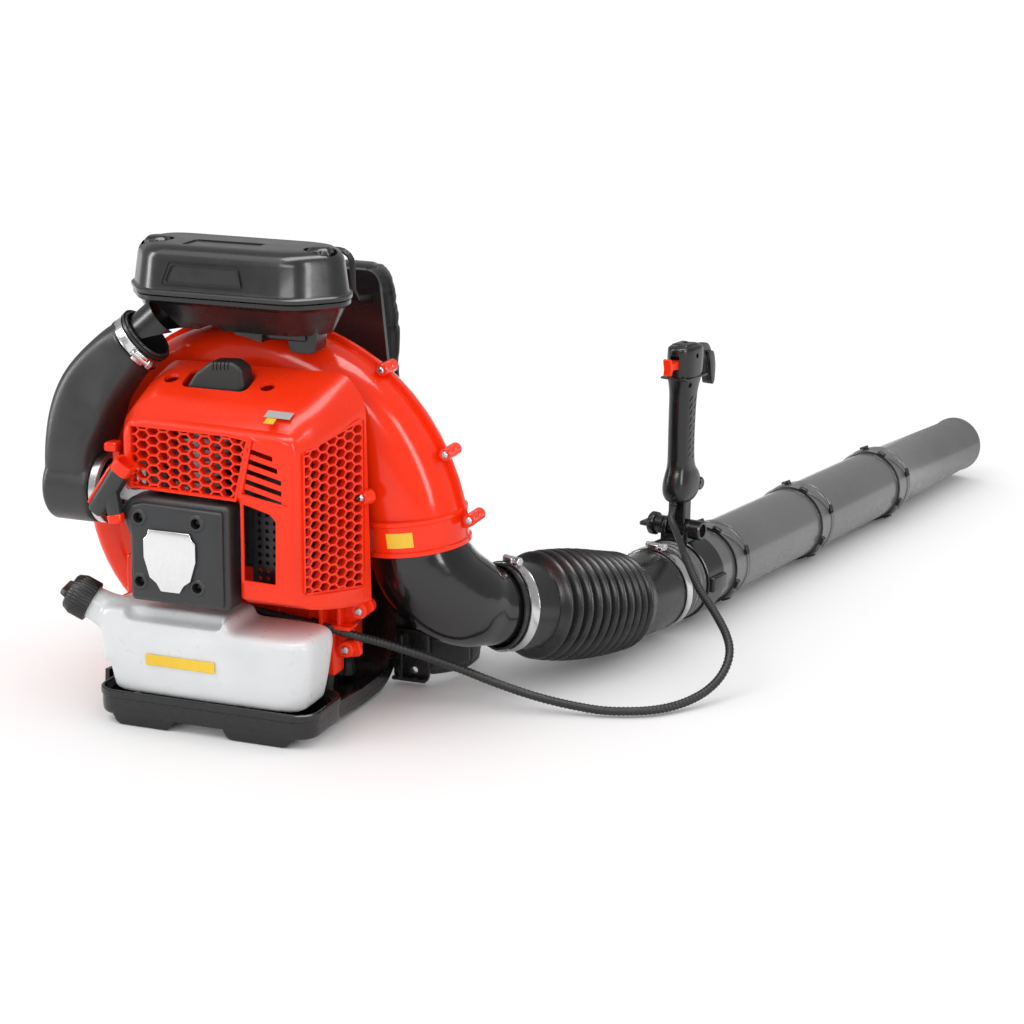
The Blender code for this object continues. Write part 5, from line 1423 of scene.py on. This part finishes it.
def crown(obj, voxel, cap, seams):
    """Swells a closed form like stuffed fabric: cloth pressure, capped movement, then stitched seams."""
    melt(obj, voxel, 3, sharp=0)
    scene = bpy.context.scene
    limit, frames = cap * 0.001, 20
    before = [vertex.co.copy() for vertex in obj.data.vertices]
    cloth = modify(obj, "CLOTH")
    fabric = {"quality": 5, "mass": 0.25, "tension_stiffness": 12, "compression_stiffness": 12,
              "bending_stiffness": 0.6, "use_pressure": True, "uniform_pressure_force": 4.0}
    for key, value in fabric.items():
        setattr(cloth.settings, key, value)
    cloth.settings.effector_weights.gravity = 0.0
    cloth.collision_settings.use_collision = False
    cloth.point_cache.frame_start, cloth.point_cache.frame_end = 1, frames
    for step in range(1, frames + 1):
        scene.frame_set(step)
    graph = bpy.context.evaluated_depsgraph_get()
    swollen = [vertex.co.copy() for vertex in obj.evaluated_get(graph).data.vertices]
    obj.modifiers.clear()
    scene.frame_set(1)
    for vertex, start, end in zip(obj.data.vertices, before, swollen):
        move = end - start
        vertex.co = start + (move if move.length < limit else move * (limit / move.length))
    modify(obj, "SUBSURF", levels=1, render_levels=1)
    bake(obj)
    places = [(vertex, vertex.co.copy(), vertex.normal.copy()) for vertex in obj.data.vertices]
    for vertex, point, normal in places:
        vertex.co = point - normal * seams(point * 1000.0, normal) * 0.001
    obj.data.shade_smooth()
    return obj


def groove(distance, width, depth):
    return depth * exp(-(distance / width) ** 2)


def grooves(place, centres, width, depth):
    return sum(groove(place - centre, width, depth) for centre in centres)


def pad_seams(p, normal):
    depth = 0.0
    if normal.y > 0.2:
        depth += grooves(p.z, (190, 245, 300), 3.0, 5.0)
        depth += groove(abs(p.x - 10) - 26, 3.0, 4.5)
    edge = max(abs(p.x - 10) - 70, 0)
    return depth + groove(edge - 6, 2.0, 0.8)


def belt_seams(p, normal):
    across = grooves(p.y, (110, 146), 2.2, 1.2) if abs(normal.z) < 0.6 else 0
    return groove(abs(p.z - 27) - 15, 2.2, 1.5) + across


def build_strap(side, x0, x1):
    """A padded shoulder strap, its top and bottom webbing, ladder lock and keeper."""
    top_y, middle_x = back_y(420) + 3.0, (x0 + x1) / 2
    knots = ((2, 417), (28, 424), (62, 404), (84, 350), (86, 280), (70, 210), (46, 160))
    flat = [(point.y, point.z) for point, _ in smooth_path([(0, top_y + y, z) for y, z in knots], 36)]

    def seams(p, normal):
        across = grooves(p.z, (200, 250, 300, 350, 390), 2.4, 1.8) if abs(normal.x) < 0.6 else 0
        return groove(abs(p.x - middle_x) - 19, 2.2, 1.6) + across

    strap = prism(ribbon([(y - 1.0, z) for y, z in flat[2:]], 8.0), "X", x0 + 3, x1 - 3)
    show(crown(strap, 4.0, 5.0, seams), f"shoulder_pad_{side}", "machine", FABRIC, f"shoulder_strap_{side}")
    below = [(top_y + 43, 162), (130, 136), (102, 96), (79, 72)]
    tape = prism(ribbon(below, 2.2), "X", middle_x - 13, middle_x + 13)
    show(bevel(tape, 0.6, 2), f"strap_web_{side}", "machine", WEBBING)
    build_ladder(f"strap_adjuster_{side}", Vector((middle_x, 117, 118)), Vector((0, 28, 40)).normalized())
    over = [(flat[0][0] - 1, flat[0][1] - 2), (flat[1][0], flat[1][1] - 1), flat[3],
            (flat[8][0], flat[8][1] - 1)]
    top_tape = prism(ribbon(over, -2.4), "X", middle_x - 12, middle_x + 12)
    show(top_tape, f"strap_top_web_{side}", "machine", WEBBING)
    keeper = box((middle_x - 17, top_y + 84, 296), (middle_x + 17, top_y + 90, 304), 1.2)
    show(keeper, f"strap_keeper_{side}", "machine", BLACK)


def build_belt(side, sign, root_x):
    """One half of the hip belt with its webbing and buckle."""
    knots = ((0, 69), (18, 84), (30, 110), (26, 150), (-2, 186))
    dense = [(p.x, p.y) for p, _ in smooth_path([(root_x + sign * x, y, 0) for x, y in knots], 24)]
    belt = crown(prism(ribbon(dense, 6.5), "Z", 5, 49), 4.0, 5.0, belt_seams)
    show(belt, f"hip_pad_{side}", "machine", FABRIC, f"hip_belt_{side}")
    tape = prism(ribbon([(x + sign * 1.0, y) for x, y in dense[::3]], 2.2 * -sign), "Z", 15, 40)
    show(tape, f"hip_web_{side}", "machine", WEBBING)
    end = Vector((dense[-1][0], dense[-1][1] + 4, 27))
    build_buckle(f"hip_buckle_{side}", end, Vector((-sign * 0.6, 0.8, 0)).normalized())


def build_ladder(name, centre, along):
    """A ladder-lock adjuster: a frame with two bars."""
    lock = box((-17, -10, -2.2), (17, 10, 2.2), 1.4)
    cut(lock, box((-13.5, -7.5, -5), (13.5, -3.5, 5)), box((-13.5, 1.0, -5), (13.5, 6.5, 5)))
    transform(lock, shift(centre) @ basis(RIGHT, along, RIGHT.cross(along).normalized()))
    show(lock, name, "machine", BLACK)


def build_buckle(name, centre, along):
    """One half of a side-release buckle."""
    outline = rounded_outline([(-14, -15), (10, -15), (16, -11), (16, 11), (10, 15), (-14, 15)],
                              (3, 5, 4, 4, 5, 3), 4)
    buckle = prism(outline, "Z", -3.6, 3.6, 1.4)
    cut(buckle, prism([(2, -8), (20, -8), (20, 8), (2, 8)], "Z", -2.0, 2.0),
        box((-11, -12.8, -6), (-7, 12.8, 6)))
    transform(buckle, shift(centre) @ basis(along, UP, along.cross(UP)))
    show(buckle, name, "machine", BLACK)


def build_harness():
    path = [(back_y(z) + 33.0, z) for z in (134, 170, 210, 250, 290, 330, 356)]
    pad = crown(prism(ribbon(path, 26), "X", -66, 86), 5.0, 7.0, pad_seams)
    show(pad, "back_pad_form", "machine", FABRIC, "back_pad")
    build_strap("left", -76, -22)
    build_strap("right", 42, 96)
    build_belt("left", -1, -152)
    build_belt("right", 1, 172)


# ---------------------------------------------------------------- stage


def build_floor():
    bm = bmesh.new()
    bmesh.ops.create_grid(bm, x_segments=1, y_segments=1, size=14.0)
    floor = mesh_object(bm, "floor")
    material, tree, shader = node_tree("floor_white")
    white = tint(tree, noise(tree, 2.0), (0.93, 0.93, 0.93), (0.95, 0.95, 0.95))
    set_up(tree, shader, {"Base Color": white}, Roughness=1.0, Specular_IOR_Level=0.0)
    paint(floor, material)
    floor.location = (0, 2, -0.0005)


def build_world():
    """An even white studio, darker where glossy surfaces mirror it."""
    world = bpy.data.worlds.new("studio")
    bpy.context.scene.world = world
    world.use_nodes = True
    tree = world.node_tree
    tree.nodes.clear()
    rays = add_node(tree, "ShaderNodeLightPath")
    mirror, fill = (add_node(tree, "ShaderNodeBackground", {"Color": (1, 1, 1, 1), "Strength": strength})
                    for strength in (0.42, 1.08))
    mix = add_node(tree, "ShaderNodeMixShader")
    out = add_node(tree, "ShaderNodeOutputWorld")
    for source, target in ((rays.outputs["Is Glossy Ray"], mix.inputs[0]), (fill.outputs[0], mix.inputs[1]),
                           (mirror.outputs[0], mix.inputs[2]), (mix.outputs[0], out.inputs[0])):
        tree.links.new(source, target)


def build_lamps():
    """One soft key light, and four panels that are seen only as highlights."""
    target = Vector((0.15, 0.1, 0.2))
    for name, place, size, power in (
            ("key", (-0.9, -1.3, 2.4), (1.8, 1.4), 12), ("top", (0.4, -0.1, 2.6), (2.6, 0.9), 60),
            ("left", (-2.2, -1.2, 1.1), (0.6, 1.9), 42), ("right", (2.3, -0.9, 1.3), (0.5, 1.8), 30),
            ("front", (0.2, -2.9, 1.9), (2.2, 0.6), 30)):
        data = bpy.data.lights.new(name, "AREA")
        data.shape = "RECTANGLE"
        data.size, data.size_y = size
        data.energy = power
        lamp = link(name, data)
        lamp.visible_diffuse = name == "key"
        lamp.location = place
        lamp.rotation_mode = "QUATERNION"
        lamp.rotation_quaternion = (target - Vector(place)).to_track_quat("-Z", "Y")


def build_camera():
    data = bpy.data.cameras.new("camera")
    data.lens, data.sensor_width = 82.02, 36.0
    camera = link("camera", data)
    azimuth, elevation, roll = (radians(v) for v in (20.07, 15.09, 0.74))
    right = Vector((cos(azimuth), sin(azimuth), 0))
    up = Vector((-sin(azimuth) * sin(elevation), cos(azimuth) * sin(elevation), cos(elevation)))
    x = right * cos(roll) + up * sin(roll)
    y = up * cos(roll) - right * sin(roll)
    camera.matrix_world = shift((1.0498, -2.0811, 0.8106)) @ basis(x, y, right.cross(up))
    bpy.context.scene.camera = camera
    bpy.context.scene.view_settings.view_transform = "Standard"


# ---------------------------------------------------------------- kept CAD nodes, then every piece

KEPT = (
    (RUBBER, ("ignition_coil", "fuel_line", "av_mount_front_left", "av_mount_front_right",
              "av_mount_rear_left", "av_mount_rear_right")),
    (CAST, ("flywheel", "crankcase", "cylinder", "piston", "carburettor")),
    (STEEL, ("crankshaft", "connecting_rod")),
    (BLACK, ("impeller", "starter_pulley")), (DARK_STEEL, ("carry_handle",)), (CERAMIC, ("spark_plug",)),
    (PAPER, ("filter_element",)),
)

for material, nodes in KEPT:
    for node in nodes:
        paint(frame["nodes"][node], material)
for build in (build_housing, build_outlet_band, build_choke_lever, build_elbow, build_hose, build_tubes,
              build_frame, build_lower_lugs, build_muffler, build_harness, build_engine_cover, build_plug_cap,
              build_starter, build_grip, build_tank, build_filter, build_duct, build_handle, build_cable,
              build_floor, build_world, build_lamps, build_camera):
    build()
